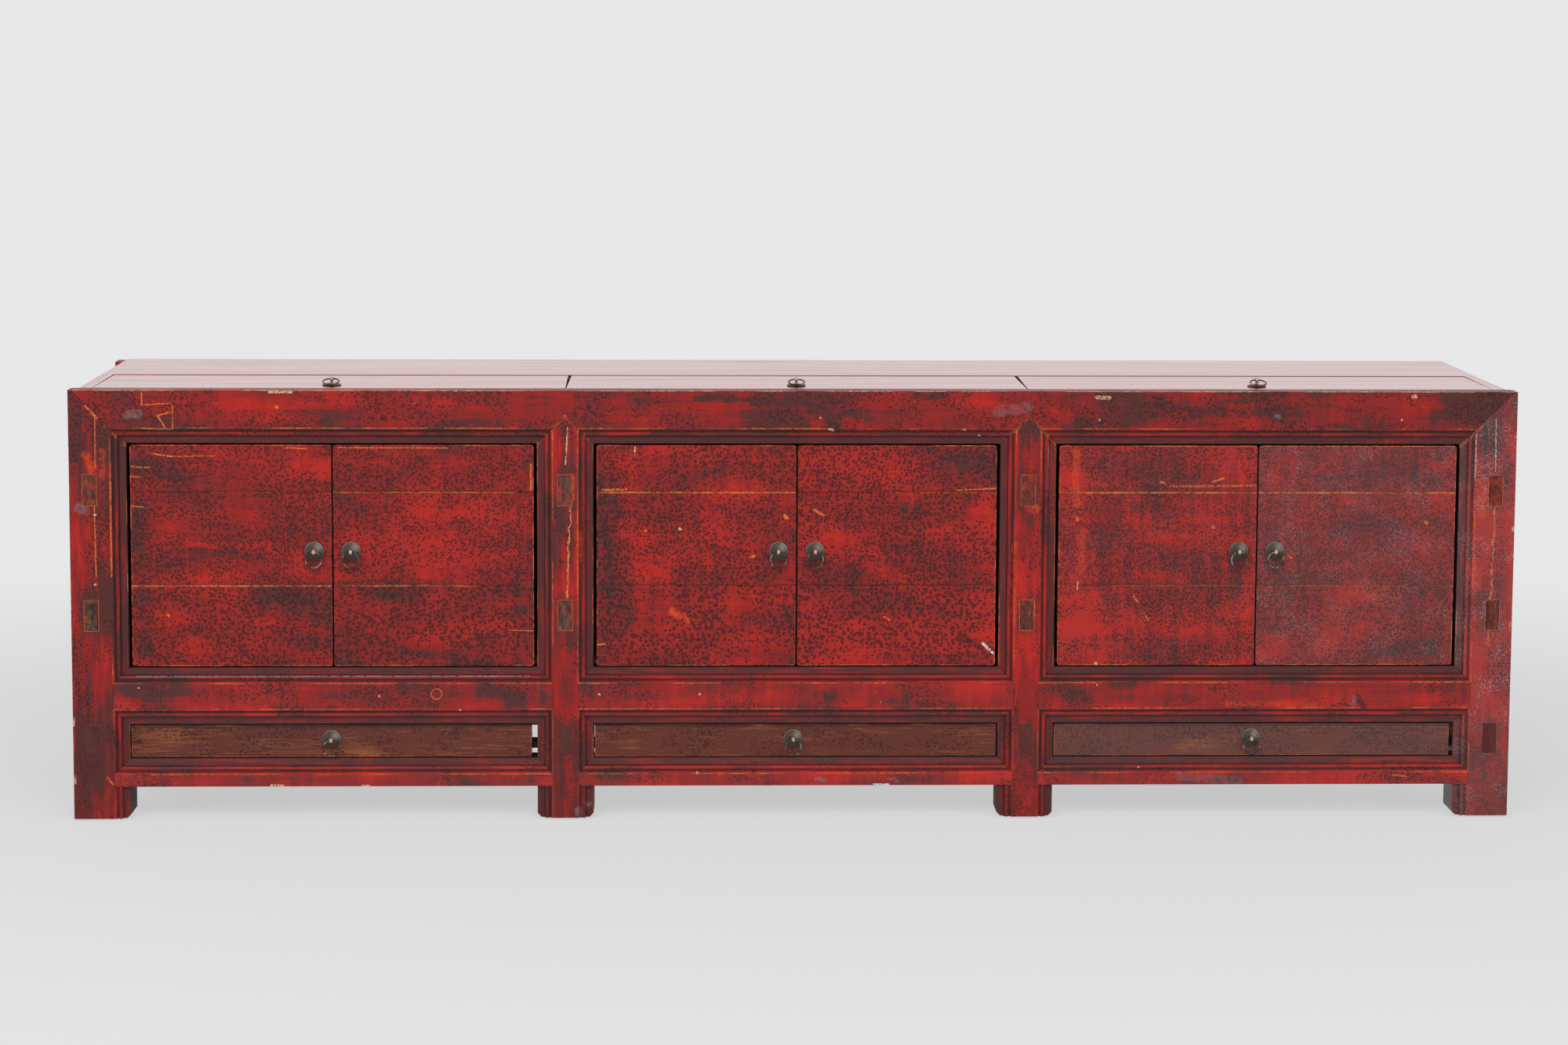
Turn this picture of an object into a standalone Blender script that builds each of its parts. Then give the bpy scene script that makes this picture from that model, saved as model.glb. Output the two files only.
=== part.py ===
"""A low lacquered sideboard: plank doors on wooden pins, shallow drawers, and lids let into its top."""

import math

import bmesh
import bpy
from mathutils import Matrix, Vector

# Overall sizes, in metres. The front faces -Y.
WIDTH = 2.160
DEPTH = 0.430
HEIGHT = 0.650

# Gaps: between pieces that touch, round a pin that turns, and how far a cutter runs past
GAP = 0.0003
RUNNING = 0.0004
OVERRUN = 0.004

# Posts and rails of the front
POST_WIDTH = 0.084
POST_DEPTH = 0.055
LEG = 0.052
BOTTOM_RAIL = 0.042
DRAWER_OPENING = 0.052
MIDDLE_RAIL = 0.086
TOP_RAIL = 0.080
RAIL_DEPTH = 0.040
TOP_RAIL_DEPTH = 0.050
FOOT_CHAMFER = 0.006

# Moulding, from the edge of an opening outwards
BAND = 0.0105
BAND_DEPTH = 0.006
BAND_FALL = 0.0004
COVE = 0.0015
BEAD = 0.0055
BEAD_DEPTH = 0.0006
QUIRK = 0.0024
QUIRK_DEPTH = 0.0028
SHOULDER = 0.0035
MOULDING = BAND + COVE + BEAD + QUIRK + SHOULDER

# Joints of the front frame
EAR_DEPTH = 0.012
POINT_DEPTH = 0.020
TENON_THICK = 0.014
TENON_LENGTH = 0.028
TENON_SHOULDER = 0.009
POST_TENON = 0.040

# Cross rails, which run from front to back, and their through tenons
CROSS_THICK = 0.030
CROSS_HEIGHT = 0.045
CROSS_SHOULDER = 0.004
CROSS_TENON = 0.020
CROSS_INSET = 0.030
LOW_CROSS = 0.100
MIDDLE_CROSS = 0.289
HIGH_CROSS = 0.478
PANEL = 0.012

# Rear
REAR_POST_WIDTH = 0.050
REAR_POST_DEPTH = 0.034
BACK = 0.012
BACK_LAP = 0.010
BACK_BOARD = 0.110
REAR_BEARER_DEPTH = 0.018

# Top
TOP_THICK = 0.020
TOP_STRIP = 0.028
LID_REACH = 0.206
END_RAIL_INSET = 0.012
END_RAIL = 0.018
END_RAIL_HEIGHT = 0.060
BEARER_HEIGHT = 0.022
BEARER_WIDTH = 0.040
END_BEARER = 0.015
LID_FRONT_GAP = 0.0008
LID_SWING = 0.001
LID_END_FRONT = 0.0006
LID_END_REAR = 0.0028
CHEEK = 0.003
DOWEL_RADIUS = 0.003
DOWEL_LENGTH = 0.014
LID_PULL = 0.065

# Doors
DOOR_RECESS = 0.0065
DOOR_THICK = 0.020
DOOR_BOTTOM_GAP = 0.002
DOOR_TOP_GAP = 0.0025
DOOR_SIDE_GAP = 0.005
DOOR_MEETING_GAP = 0.0016
DOOR_CORNER = 0.004
UPPER_BOARD = 0.071
MIDDLE_BOARD = 0.141
SEAM_WIDTH = 0.0014
SEAM_DEPTH = 0.0008
BATTEN_WIDTH = 0.034
BATTEN_DEPTH = 0.008
BATTEN_INSET = 0.040
PIN_INSET = 0.012
PIN_RADIUS = 0.006
PIN_LENGTH = 0.008
DOOR_PULL = 0.0275
DOOR_PULL_DROP = 0.1595

# Drawers
DRAWER_RECESS = 0.0070
DRAWER_FRONT = 0.018
DRAWER_LIFT = 0.0012
DRAWER_TOP_GAP = 0.0018
LEFT_DRAWER_GAPS = (0.0015, 0.0090)
CENTRE_DRAWER_GAPS = (0.0020, 0.0022)
RIGHT_DRAWER_GAPS = (0.0015, 0.0060)
BOX_INSET = 0.030
BOX_DROP = 0.008
BOX_DEPTH = 0.300
BOX_WALL = 0.010
BOX_FLOOR = 0.007
DRAWER_PULL_DROP = 0.0215
DRAWER_PULL_SHIFT = 0.004
RUNNER_WIDTH = 0.025
RUNNER_HEIGHT = 0.022
GUIDE_HEIGHT = 0.012
GUIDE_LENGTH = 0.030
GUIDE_GAP = 0.001

# Cupboard floors
FLOOR_THICK = 0.012
FLOOR_LAP = 0.006
FLOOR_RISE = 0.006
CLEAT = 0.015
CLEAT_HEIGHT = 0.020

# Pulls
PLATE_RADIUS = 0.01475
PLATE_RISE = 0.0030
PLATE_EDGE = 0.0010
PLATE_FLAT = 0.0045
EYE_RADIUS = 0.0036
EYE_BORE = 0.0022
EYE_WIDTH = 0.0050
NECK = 0.0030
PULL_STAND = 0.0130
RING_RADIUS = 0.0120
RING_WIRE = 0.0015
LID_RING_TILT = math.radians(14)

# Glides
GLIDE_RADIUS = 0.0065
GLIDE_HEIGHT = 0.003
GLIDE_FOOT = 0.017

# How finely round shapes are cut
PLATE_STEPS = 20
EYE_SIDES = 12
RING_STEPS = 24
RING_SIDES = 6
PIN_SIDES = 16
GLIDE_SIDES = 12
CORNER_STEPS = 3
EDGE_STEPS = 6

# Places that follow from the sizes
PROUD = PULL_STAND + GAP - min(DOOR_RECESS, DRAWER_RECESS)
FRONT = (PROUD - DEPTH) / 2
REAR = FRONT + DEPTH
LEFT = -WIDTH / 2
BAY = (WIDTH - 4 * POST_WIDTH) / 3
DRAWER_SILL = LEG + BOTTOM_RAIL
DRAWER_HEAD = DRAWER_SILL + DRAWER_OPENING
DOOR_SILL = DRAWER_HEAD + MIDDLE_RAIL
DOOR_HEAD = HEIGHT - TOP_RAIL
MITRE = min(POST_WIDTH, TOP_RAIL)
POINT = POST_WIDTH / 2
SEAT = HEIGHT - TOP_THICK
BACK_FACE = REAR - BACK
REAR_POST = BACK_FACE - REAR_POST_DEPTH
BEHIND_POSTS = FRONT + POST_DEPTH
LID_REAR = FRONT + LID_REACH
HINGE_Y = LID_REAR - TOP_THICK / 2
HINGE_Z = HEIGHT - TOP_THICK / 2
FLOOR_TOP = DOOR_SILL + FLOOR_RISE
FLOOR_UNDER = FLOOR_TOP - FLOOR_THICK
BACK_UNDER = FLOOR_UNDER - BACK_LAP
BOX_UNDER = DRAWER_SILL + DRAWER_LIFT
EYE_HEIGHT = PULL_STAND - EYE_RADIUS
CROSS_LEVELS = (LOW_CROSS, MIDDLE_CROSS, HIGH_CROSS)
BAYS = ("left", "centre", "right")
DRAWER_GAPS = (LEFT_DRAWER_GAPS, CENTRE_DRAWER_GAPS, RIGHT_DRAWER_GAPS)

# Colours, as linear RGB, with roughness and metallic
LACQUER = ((0.300, 0.022, 0.018), 0.38, 0.0)
DARK_LACQUER = ((0.130, 0.018, 0.016), 0.45, 0.0)
DRAWER_BROWN = ((0.090, 0.028, 0.018), 0.50, 0.0)
BARE_WOOD = ((0.240, 0.130, 0.065), 0.80, 0.0)
BRASS = ((0.160, 0.120, 0.070), 0.40, 1.0)
IRON = ((0.090, 0.075, 0.060), 0.45, 1.0)


def collection(name):
    found = bpy.data.collections.new(name)
    bpy.context.scene.collection.children.link(found)
    return found


def clear_scene():
    for obj in list(bpy.data.objects):
        bpy.data.objects.remove(obj, do_unlink=True)


def material(name, look):
    colour, roughness, metallic = look
    made = bpy.data.materials.new(name)
    made.use_nodes = True
    shader = made.node_tree.nodes["Principled BSDF"]
    shader.inputs["Base Color"].default_value = (*colour, 1)
    shader.inputs["Roughness"].default_value = roughness
    shader.inputs["Metallic"].default_value = metallic
    return made


def from_bmesh(name, shape, home):
    """An object made from a bmesh and linked to a collection."""
    bmesh.ops.recalc_face_normals(shape, faces=shape.faces)
    mesh = bpy.data.meshes.new(name)
    shape.to_mesh(mesh)
    shape.free()
    obj = bpy.data.objects.new(name, mesh)
    home.objects.link(obj)
    return obj


def box(name, low, high, home):
    """A box between two opposite corners."""
    low = Vector(low)
    high = Vector(high)
    shape = bmesh.new()
    place = Matrix.Translation((low + high) / 2) @ Matrix.Diagonal((*(high - low), 1))
    bmesh.ops.create_cube(shape, size=1, matrix=place)
    return from_bmesh(name, shape, home)


def cylinder(name, radius, start, end, sides, home):
    """A round bar between two points."""
    start = Vector(start)
    run = Vector(end) - start
    turn = run.to_track_quat("Z", "Y").to_matrix().to_4x4()
    place = Matrix.Translation(start + run / 2) @ turn
    shape = bmesh.new()
    bmesh.ops.create_cone(
        shape, cap_ends=True, segments=sides, radius1=radius, radius2=radius, depth=run.length, matrix=place
    )
    return from_bmesh(name, shape, home)


def without_repeats(points):
    kept = []
    for point in points:
        if not kept or (Vector(point) - Vector(kept[-1])).length > GAP / 10:
            kept.append(point)
    if (Vector(kept[0]) - Vector(kept[-1])).length <= GAP / 10:
        kept.pop()
    return kept


def grown(points, by):
    """The outline, which runs anticlockwise, with each side moved out by a distance."""
    points = [Vector(point) for point in without_repeats(points)]
    moved = []
    for before, here, after in zip(points[-1:] + points[:-1], points, points[1:] + points[:1]):
        first = (here - before).normalized()
        second = (after - here).normalized()
        out = Vector((first.y, -first.x)) + Vector((second.y, -second.x))
        moved.append(here + out * by * 2 / out.length_squared)
    return moved


def extruded(name, outline, low, high, along, home):
    """A flat outline run along an axis. It is given as (y, z) along X, (x, z) along Y or (x, y) along Z."""
    curve = bpy.data.curves.new(name, "CURVE")
    curve.dimensions = "2D"
    curve.fill_mode = "BOTH"
    curve.extrude = (high - low) / 2
    outline = without_repeats(outline)
    spline = curve.splines.new("POLY")
    spline.points.add(len(outline) - 1)
    for point, (a, b) in zip(spline.points, outline):
        point.co = (a, b, 0, 1)
    spline.use_cyclic_u = True
    guide = bpy.data.objects.new(name, curve)
    home.objects.link(guide)
    graph = bpy.context.evaluated_depsgraph_get()
    mesh = bpy.data.meshes.new_from_object(guide.evaluated_get(graph))
    middle = (low + high) / 2
    turns = {
        "X": Matrix(((0, 0, 1, middle), (1, 0, 0, 0), (0, 1, 0, 0), (0, 0, 0, 1))),
        "Y": Matrix(((1, 0, 0, 0), (0, 0, -1, middle), (0, 1, 0, 0), (0, 0, 0, 1))),
        "Z": Matrix(((1, 0, 0, 0), (0, 1, 0, 0), (0, 0, 1, middle), (0, 0, 0, 1))),
    }
    mesh.transform(turns[along])
    bpy.data.objects.remove(guide, do_unlink=True)
    shape = bmesh.new()
    shape.from_mesh(mesh)
    bmesh.ops.remove_doubles(shape, verts=shape.verts, dist=GAP / 100)
    bpy.data.meshes.remove(mesh)
    return from_bmesh(name, shape, home)


def combine(obj, operation, others):
    """Adds, cuts or keeps the overlap with each other object, and uses the others up."""
    for other in others:
        modifier = obj.modifiers.new(operation.lower(), "BOOLEAN")
        modifier.operation = operation
        modifier.object = other
        modifier.solver = "EXACT"
        graph = bpy.context.evaluated_depsgraph_get()
        mesh = bpy.data.meshes.new_from_object(obj.evaluated_get(graph))
        obj.modifiers.clear()
        obj.data = mesh
        bpy.data.objects.remove(other, do_unlink=True)
    return obj


def finish(obj, look, parent=None, pivot=None):
    """Names the mesh, sets its material, moves its origin to its pivot and shades its round faces smooth."""
    obj.data.name = obj.name
    obj.data.materials.clear()
    obj.data.materials.append(look)
    obj.data.shade_smooth()
    obj.data.set_sharp_from_angle(angle=math.radians(30))
    if pivot is not None:
        obj.data.transform(Matrix.Translation(-Vector(pivot)))
        obj.location = pivot
    if parent is not None:
        obj.parent = parent
        obj.location = Vector(obj.location) - parent.matrix_world.translation
    bpy.context.view_layer.update()
    return obj


def moulding(edge, side):
    """Points from an opening's edge out to the flat of the face, as (place, depth behind the face)."""
    places = [
        (0, BAND_DEPTH + BAND_FALL),
        (BAND, BAND_DEPTH),
        (BAND + COVE, BEAD_DEPTH + BEAD / 4),
        (BAND + COVE + BEAD / 3, BEAD_DEPTH),
        (BAND + COVE + BEAD * 2 / 3, BEAD_DEPTH),
        (BAND + COVE + BEAD, BEAD_DEPTH + BEAD / 4),
        (BAND + COVE + BEAD, QUIRK_DEPTH),
        (BAND + COVE + BEAD + QUIRK, QUIRK_DEPTH),
        (BAND + COVE + BEAD + QUIRK + SHOULDER / 3, QUIRK_DEPTH / 4),
        (MOULDING, 0),
    ]
    return [(edge + side * place, FRONT + depth) for place, depth in places]


def post_left(index):
    """The left face of one of the four front posts."""
    return LEFT + index * (POST_WIDTH + BAY)


def bay_left(index):
    return post_left(index) + POST_WIDTH


def frame_centre(index):
    """Where the cross rails behind a post are centred, with the outer ones set near the post's outer face."""
    if index == 0:
        return LEFT + CROSS_INSET
    if index == 3:
        return -LEFT - CROSS_INSET
    return post_left(index) + POST_WIDTH / 2


def rail_outline(index, low, high, moulded_below):
    """A rail's front outline, with the ends of its flat let into the posts and a mitre at each moulding."""
    left = bay_left(index)
    right = left + BAY
    foot = low + MOULDING if moulded_below else low
    inset = 0 if moulded_below else MOULDING
    lower = [(left - inset, low), (right + inset, low), (right + MOULDING, foot)]
    upper = [(right + MOULDING, high - MOULDING), (right, high), (left, high)]
    far = [(left - MOULDING, high - MOULDING), (left - MOULDING, foot)]
    return without_repeats(lower + upper + far)


def rail_tenon(name, x, side, low, high, fit, home):
    """The tenon at a rail's end, or with a fit above zero the mortise for it."""
    near = x - side * OVERRUN
    far = x + side * (TENON_LENGTH + fit)
    front = FRONT + (RAIL_DEPTH + EAR_DEPTH - TENON_THICK) / 2
    start = (min(near, far), front - fit, low + TENON_SHOULDER - fit)
    end = (max(near, far), front + TENON_THICK + fit, high - TENON_SHOULDER + fit)
    return box(name, start, end, home)


def front_rail(name, index, low, high, moulded_below, home, spare):
    """A middle or bottom rail: moulded, mitred into the posts' mouldings and tenoned into the posts."""
    left = bay_left(index)
    right = left + BAY
    section = [(FRONT + RAIL_DEPTH, high)] + [(y, z) for z, y in moulding(high, -1)]
    if moulded_below:
        section += [(y, z) for z, y in reversed(moulding(low, 1))]
    else:
        section += [(FRONT, low)]
    section += [(FRONT + RAIL_DEPTH, low)]
    rail = extruded(name, section, left - MOULDING - OVERRUN, right + MOULDING + OVERRUN, "X", home)
    outline = rail_outline(index, low, high, moulded_below)
    rear = FRONT + RAIL_DEPTH + OVERRUN
    combine(rail, "INTERSECT", [extruded("outline", outline, FRONT - OVERRUN, rear, "Y", spare)])
    for x, side in ((left, -1), (right, 1)):
        near = x - side * GAP
        far = x + side * (MOULDING + OVERRUN)
        start = (min(near, far), FRONT + EAR_DEPTH, low - OVERRUN)
        combine(rail, "DIFFERENCE", [box("back", start, (max(near, far), rear, high + OVERRUN), spare)])
        combine(rail, "UNION", [rail_tenon("tenon", x, side, low, high, 0, spare)])
    return rail


def rail_cutters(index, side, spare):
    """What the two rails of a bay take out of the post at one of their ends."""
    cutters = []
    left = bay_left(index)
    x = left if side < 0 else left + BAY
    for low, high, moulded_below in ((LEG, DRAWER_SILL, False), (DRAWER_HEAD, DOOR_SILL, True)):
        outline = grown(rail_outline(index, low, high, moulded_below), GAP)
        cutters.append(extruded("ear", outline, FRONT - OVERRUN, FRONT + EAR_DEPTH + GAP, "Y", spare))
        cutters.append(rail_tenon("mortise", x, side, low, high, GAP, spare))
    return cutters


def cross_mortises(index, low_y, high_y, spare):
    """Through mortises for the three cross rails."""
    centre = frame_centre(index)
    half = CROSS_TENON / 2 + GAP
    cutters = []
    for z in CROSS_LEVELS:
        start = (centre - half, low_y - OVERRUN, z - GAP)
        end = (centre + half, high_y + OVERRUN, z + CROSS_HEIGHT + GAP)
        cutters.append(box("mortise", start, end, spare))
    return cutters


def glides(places, y, spare):
    """Small round pads under a foot."""
    top = GLIDE_HEIGHT + OVERRUN
    return [cylinder("glide", GLIDE_RADIUS, (x, y, 0), (x, y, top), GLIDE_SIDES, spare) for x in places]


def post_top(index):
    """The line of a front post's upper end, right to left: a mitre on an outer post, or a point."""
    left = post_left(index)
    right = left + POST_WIDTH
    if index == 0:
        return [(right, DOOR_HEAD), (right - MITRE, DOOR_HEAD + MITRE), (left, DOOR_HEAD + MITRE)]
    if index == 3:
        return [(right, DOOR_HEAD + MITRE), (left + MITRE, DOOR_HEAD + MITRE), (left, DOOR_HEAD)]
    return [(right, DOOR_HEAD), (left + POINT, DOOR_HEAD + POINT), (left, DOOR_HEAD)]


def above_post(index):
    """All that lies above a front post's upper end."""
    line = [(x, z - GAP) for x, z in post_top(index)]
    right_drop = OVERRUN if index < 3 else 0
    left_drop = OVERRUN if index > 0 else 0
    line[0] = (line[0][0] + OVERRUN, line[0][1] - right_drop)
    line[-1] = (line[-1][0] - OVERRUN, line[-1][1] - left_drop)
    over = HEIGHT + 2 * OVERRUN
    return line + [(line[-1][0], over), (line[0][0], over)]


def foot_corner(x, side, spare):
    """What the chamfer takes off a foot's corner towards an opening."""
    run = FOOT_CHAMFER + OVERRUN
    base = GLIDE_HEIGHT - OVERRUN
    outline = [(x + side * OVERRUN, base), (x + side * OVERRUN, base + run + OVERRUN), (x - side * run, base)]
    return extruded("corner", outline, FRONT - OVERRUN, FRONT + POST_DEPTH + OVERRUN, "Y", spare)


def post_tenon(index, fit, spare):
    """The tenon on a front post's upper end, or the mortise for it in the top rail."""
    x = post_left(index) + POST_WIDTH / 2
    half = POST_TENON / 2
    low = DOOR_HEAD - OVERRUN
    if index in (0, 3):
        low = DOOR_HEAD + OVERRUN
        half = POST_TENON / 4
        x += (1 if index == 0 else -1) * POST_TENON / 2
    y = FRONT + POINT_DEPTH + TENON_SHOULDER
    start = (x - half - fit, y - fit, low - fit)
    end = (x + half + fit, y + TENON_THICK + fit, DOOR_HEAD + TENON_LENGTH + BAND + fit)
    return box("tenon", start, end, spare)


def front_post(name, index, home, spare):
    left = post_left(index)
    right = left + POST_WIDTH
    back = FRONT + POST_DEPTH
    section = moulding(left, 1) if index > 0 else [(left, FRONT)]
    section += list(reversed(moulding(right, -1))) if index < 3 else [(right, FRONT)]
    section += [(right, back), (left, back)]
    post = extruded(name, section, GLIDE_HEIGHT, HEIGHT + OVERRUN, "Z", home)
    cutters = [extruded("above", above_post(index), FRONT - OVERRUN, back + OVERRUN, "Y", spare)]
    if index > 0:
        cutters.append(foot_corner(left, -1, spare))
    if index < 3:
        cutters.append(foot_corner(right, 1, spare))
    low = (left - OVERRUN, FRONT + TOP_STRIP, SEAT - GAP)
    if index in (1, 2):
        low = (left - OVERRUN, FRONT + POINT_DEPTH, DOOR_HEAD - GAP)
    cutters.append(box("back", low, (right + OVERRUN, back + OVERRUN, HEIGHT + OVERRUN), spare))
    combine(post, "DIFFERENCE", cutters)
    combine(post, "UNION", [post_tenon(index, 0, spare)])
    cutters = cross_mortises(index, FRONT, back, spare)
    if index > 0:
        cutters += rail_cutters(index - 1, 1, spare)
    if index < 3:
        cutters += rail_cutters(index, -1, spare)
    combine(post, "DIFFERENCE", cutters)
    places = (left + GLIDE_FOOT, right - GLIDE_FOOT)
    return combine(post, "UNION", glides(places, FRONT + POST_DEPTH / 2, spare))


def door_axis(index, side):
    """The (x, y) of a door's pins: side is -1 for a bay's left door and 1 for its right door."""
    edge = bay_left(index) if side < 0 else bay_left(index) + BAY
    return edge - side * (DOOR_SIDE_GAP + PIN_INSET), FRONT + DOOR_RECESS + DOOR_THICK / 2


def pin_holes(index, z, up, spare):
    """Sockets for the pins of a bay's two doors, in the rail above or below them."""
    holes = []
    for side in (-1, 1):
        x, y = door_axis(index, side)
        start = (x, y, z - up * OVERRUN)
        end = (x, y, z + up * (PIN_LENGTH + RUNNING))
        holes.append(cylinder("socket", PIN_RADIUS + RUNNING, start, end, PIN_SIDES, spare))
    return holes


def front_top_rail(home, spare):
    back = FRONT + TOP_RAIL_DEPTH
    strip = FRONT + TOP_STRIP
    section = [(back, SEAT - GAP), (strip, SEAT - GAP), (strip, HEIGHT), (FRONT, HEIGHT)]
    section += [(y, z) for z, y in reversed(moulding(DOOR_HEAD, 1))] + [(back, DOOR_HEAD)]
    rail = extruded("front_top_rail", section, LEFT, -LEFT, "X", home)
    inner = LEFT + POST_WIDTH
    tip = inner - MITRE
    foot = (inner + OVERRUN, DOOR_HEAD - OVERRUN)
    outline = [foot, (-foot[0], foot[1]), (-tip, DOOR_HEAD + MITRE), (-tip, HEIGHT + OVERRUN)]
    outline += [(tip, HEIGHT + OVERRUN), (tip, DOOR_HEAD + MITRE)]
    combine(rail, "INTERSECT", [extruded("outline", outline, FRONT - OVERRUN, back + OVERRUN, "Y", spare)])
    cutters = []
    for index in (1, 2):
        left = post_left(index)
        point = [(left, DOOR_HEAD - OVERRUN), (left + POST_WIDTH, DOOR_HEAD - OVERRUN)]
        point += post_top(index)
        cutters.append(extruded("point", point, FRONT - OVERRUN, FRONT + POINT_DEPTH + GAP, "Y", spare))
    cutters += [post_tenon(index, GAP, spare) for index in range(4)]
    for index in range(3):
        cutters += pin_holes(index, DOOR_HEAD, 1, spare)
    return combine(rail, "DIFFERENCE", cutters)


def middle_rail(index, home, spare):
    """The rail above a drawer, rebated behind for the cupboard floor, with sockets for the doors' pins."""
    rail = front_rail(f"{BAYS[index]}_middle_rail", index, DRAWER_HEAD, DOOR_SILL, True, home, spare)
    left = bay_left(index)
    low = (left - OVERRUN, FRONT + RAIL_DEPTH - FLOOR_LAP, FLOOR_UNDER - GAP)
    high = (left + BAY + OVERRUN, FRONT + RAIL_DEPTH + OVERRUN, DOOR_SILL + OVERRUN)
    cutters = [box("rebate", low, high, spare)] + pin_holes(index, DOOR_SILL, -1, spare)
    return combine(rail, "DIFFERENCE", cutters)


def rear_post(name, x, top, home, spare):
    low = (x, REAR_POST, GLIDE_HEIGHT)
    post = box(name, low, (x + REAR_POST_WIDTH, BACK_FACE - GAP, top), home)
    return combine(post, "UNION", glides((x + REAR_POST_WIDTH / 2,), REAR_POST + REAR_POST_DEPTH / 2, spare))


def rear_corner_post(side, home, spare):
    """A rear post. The left one runs up past the end of the top board, where it shows as a small horn."""
    name = "rear_left_post" if side < 0 else "rear_right_post"
    x = LEFT if side < 0 else -LEFT - REAR_POST_WIDTH
    top = HEIGHT if side < 0 else SEAT - GAP
    post = rear_post(name, x, top, home, spare)
    cutters = cross_mortises(0 if side < 0 else 3, REAR_POST, BACK_FACE, spare)
    if side < 0:
        low = (x + END_RAIL_INSET - GAP, REAR_POST - OVERRUN, SEAT - GAP)
        high = (x + REAR_POST_WIDTH + OVERRUN, BACK_FACE + OVERRUN, HEIGHT + OVERRUN)
        cutters.append(box("horn", low, high, spare))
    return combine(post, "DIFFERENCE", cutters)


def cross_rails(name, index, rail_rear, tenon_rear, home, spare):
    """Three cross rails whose front tenons run right through the post, as a list of pieces to join."""
    centre = frame_centre(index)
    pieces = []
    for z in CROSS_LEVELS:
        low = (centre - CROSS_THICK / 2, BEHIND_POSTS + GAP, z - CROSS_SHOULDER)
        high = (centre + CROSS_THICK / 2, rail_rear, z + CROSS_HEIGHT + CROSS_SHOULDER)
        pieces.append(box(name, low, high, home))
        low = (centre - CROSS_TENON / 2, FRONT, z)
        pieces.append(box("tenon", low, (centre + CROSS_TENON / 2, tenon_rear, z + CROSS_HEIGHT), spare))
    return pieces


def fittings(index, side, panel_face, cross_face, spare):
    """The floor cleat and the drawer guide block on one face of a frame."""
    if side > 0:
        box_face = bay_left(index) + BOX_INSET - GUIDE_GAP
    else:
        box_face = bay_left(index - 1) + BAY - BOX_INSET + GUIDE_GAP
    inside = cross_face - side * OVERRUN
    front = BEHIND_POSTS + GAP
    top = FLOOR_UNDER - GAP
    near, far = sorted((panel_face - side * PANEL / 2, panel_face + side * CLEAT))
    cleat_low = (near, front, top - CLEAT_HEIGHT)
    cleat_high = (far, REAR_POST - GAP, top)
    guide_low = (min(inside, box_face), front, BOX_UNDER + OVERRUN / 2)
    guide_high = (max(inside, box_face), BEHIND_POSTS + GUIDE_LENGTH, BOX_UNDER + GUIDE_HEIGHT)
    return [box("cleat", cleat_low, cleat_high, spare), box("guide", guide_low, guide_high, spare)]


def end_frame(side, home, spare):
    """The frame and panel between the posts at one end, which also holds up the lid and floor there."""
    index = 0 if side < 0 else 3
    outer = side * WIDTH / 2

    def across(start, end, y0, y1, z0, z1):
        """A box between two distances in from the posts' outer faces."""
        xs = sorted((outer - side * start, outer - side * end))
        return box("piece", (xs[0], y0, z0), (xs[1], y1, z1), spare)

    front = BEHIND_POSTS + GAP
    rear = REAR_POST - GAP
    near = END_RAIL_INSET
    far = END_RAIL_INSET + END_RAIL
    low = SEAT - GAP - BEARER_HEIGHT
    pieces = cross_rails("rail", index, rear, BACK_FACE - GAP, spare, spare)
    panel_top = SEAT - END_RAIL_HEIGHT / 2
    pieces.append(across(CROSS_INSET - PANEL, CROSS_INSET, front, rear, LOW_CROSS + OVERRUN, panel_top))
    pieces.append(across(near, far, front, rear, HEIGHT - END_RAIL_HEIGHT, SEAT - GAP))
    pieces.append(across(near, far, FRONT + TOP_STRIP + GAP, LID_REAR, SEAT, HEIGHT))
    pieces.append(across(near, far, front, LID_REAR, SEAT - BEARER_HEIGHT, HEIGHT - OVERRUN))
    pieces.append(across(far - OVERRUN, far + END_BEARER, front, rear, low, SEAT - GAP))
    inner = -side
    panel_face = outer - side * CROSS_INSET
    cross_face = frame_centre(index) + inner * CROSS_THICK / 2
    pieces += fittings(index, inner, panel_face, cross_face, spare)
    start = (outer - side * (far - OVERRUN), HINGE_Y, HINGE_Z)
    end = (outer - side * (far + DOWEL_LENGTH), HINGE_Y, HINGE_Z)
    pieces.append(cylinder("dowel", DOWEL_RADIUS, start, end, EYE_SIDES, spare))
    frame = pieces[0]
    frame.name = "left_end_frame" if side < 0 else "right_end_frame"
    spare.objects.unlink(frame)
    home.objects.link(frame)
    return combine(frame, "UNION", pieces[1:])


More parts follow.
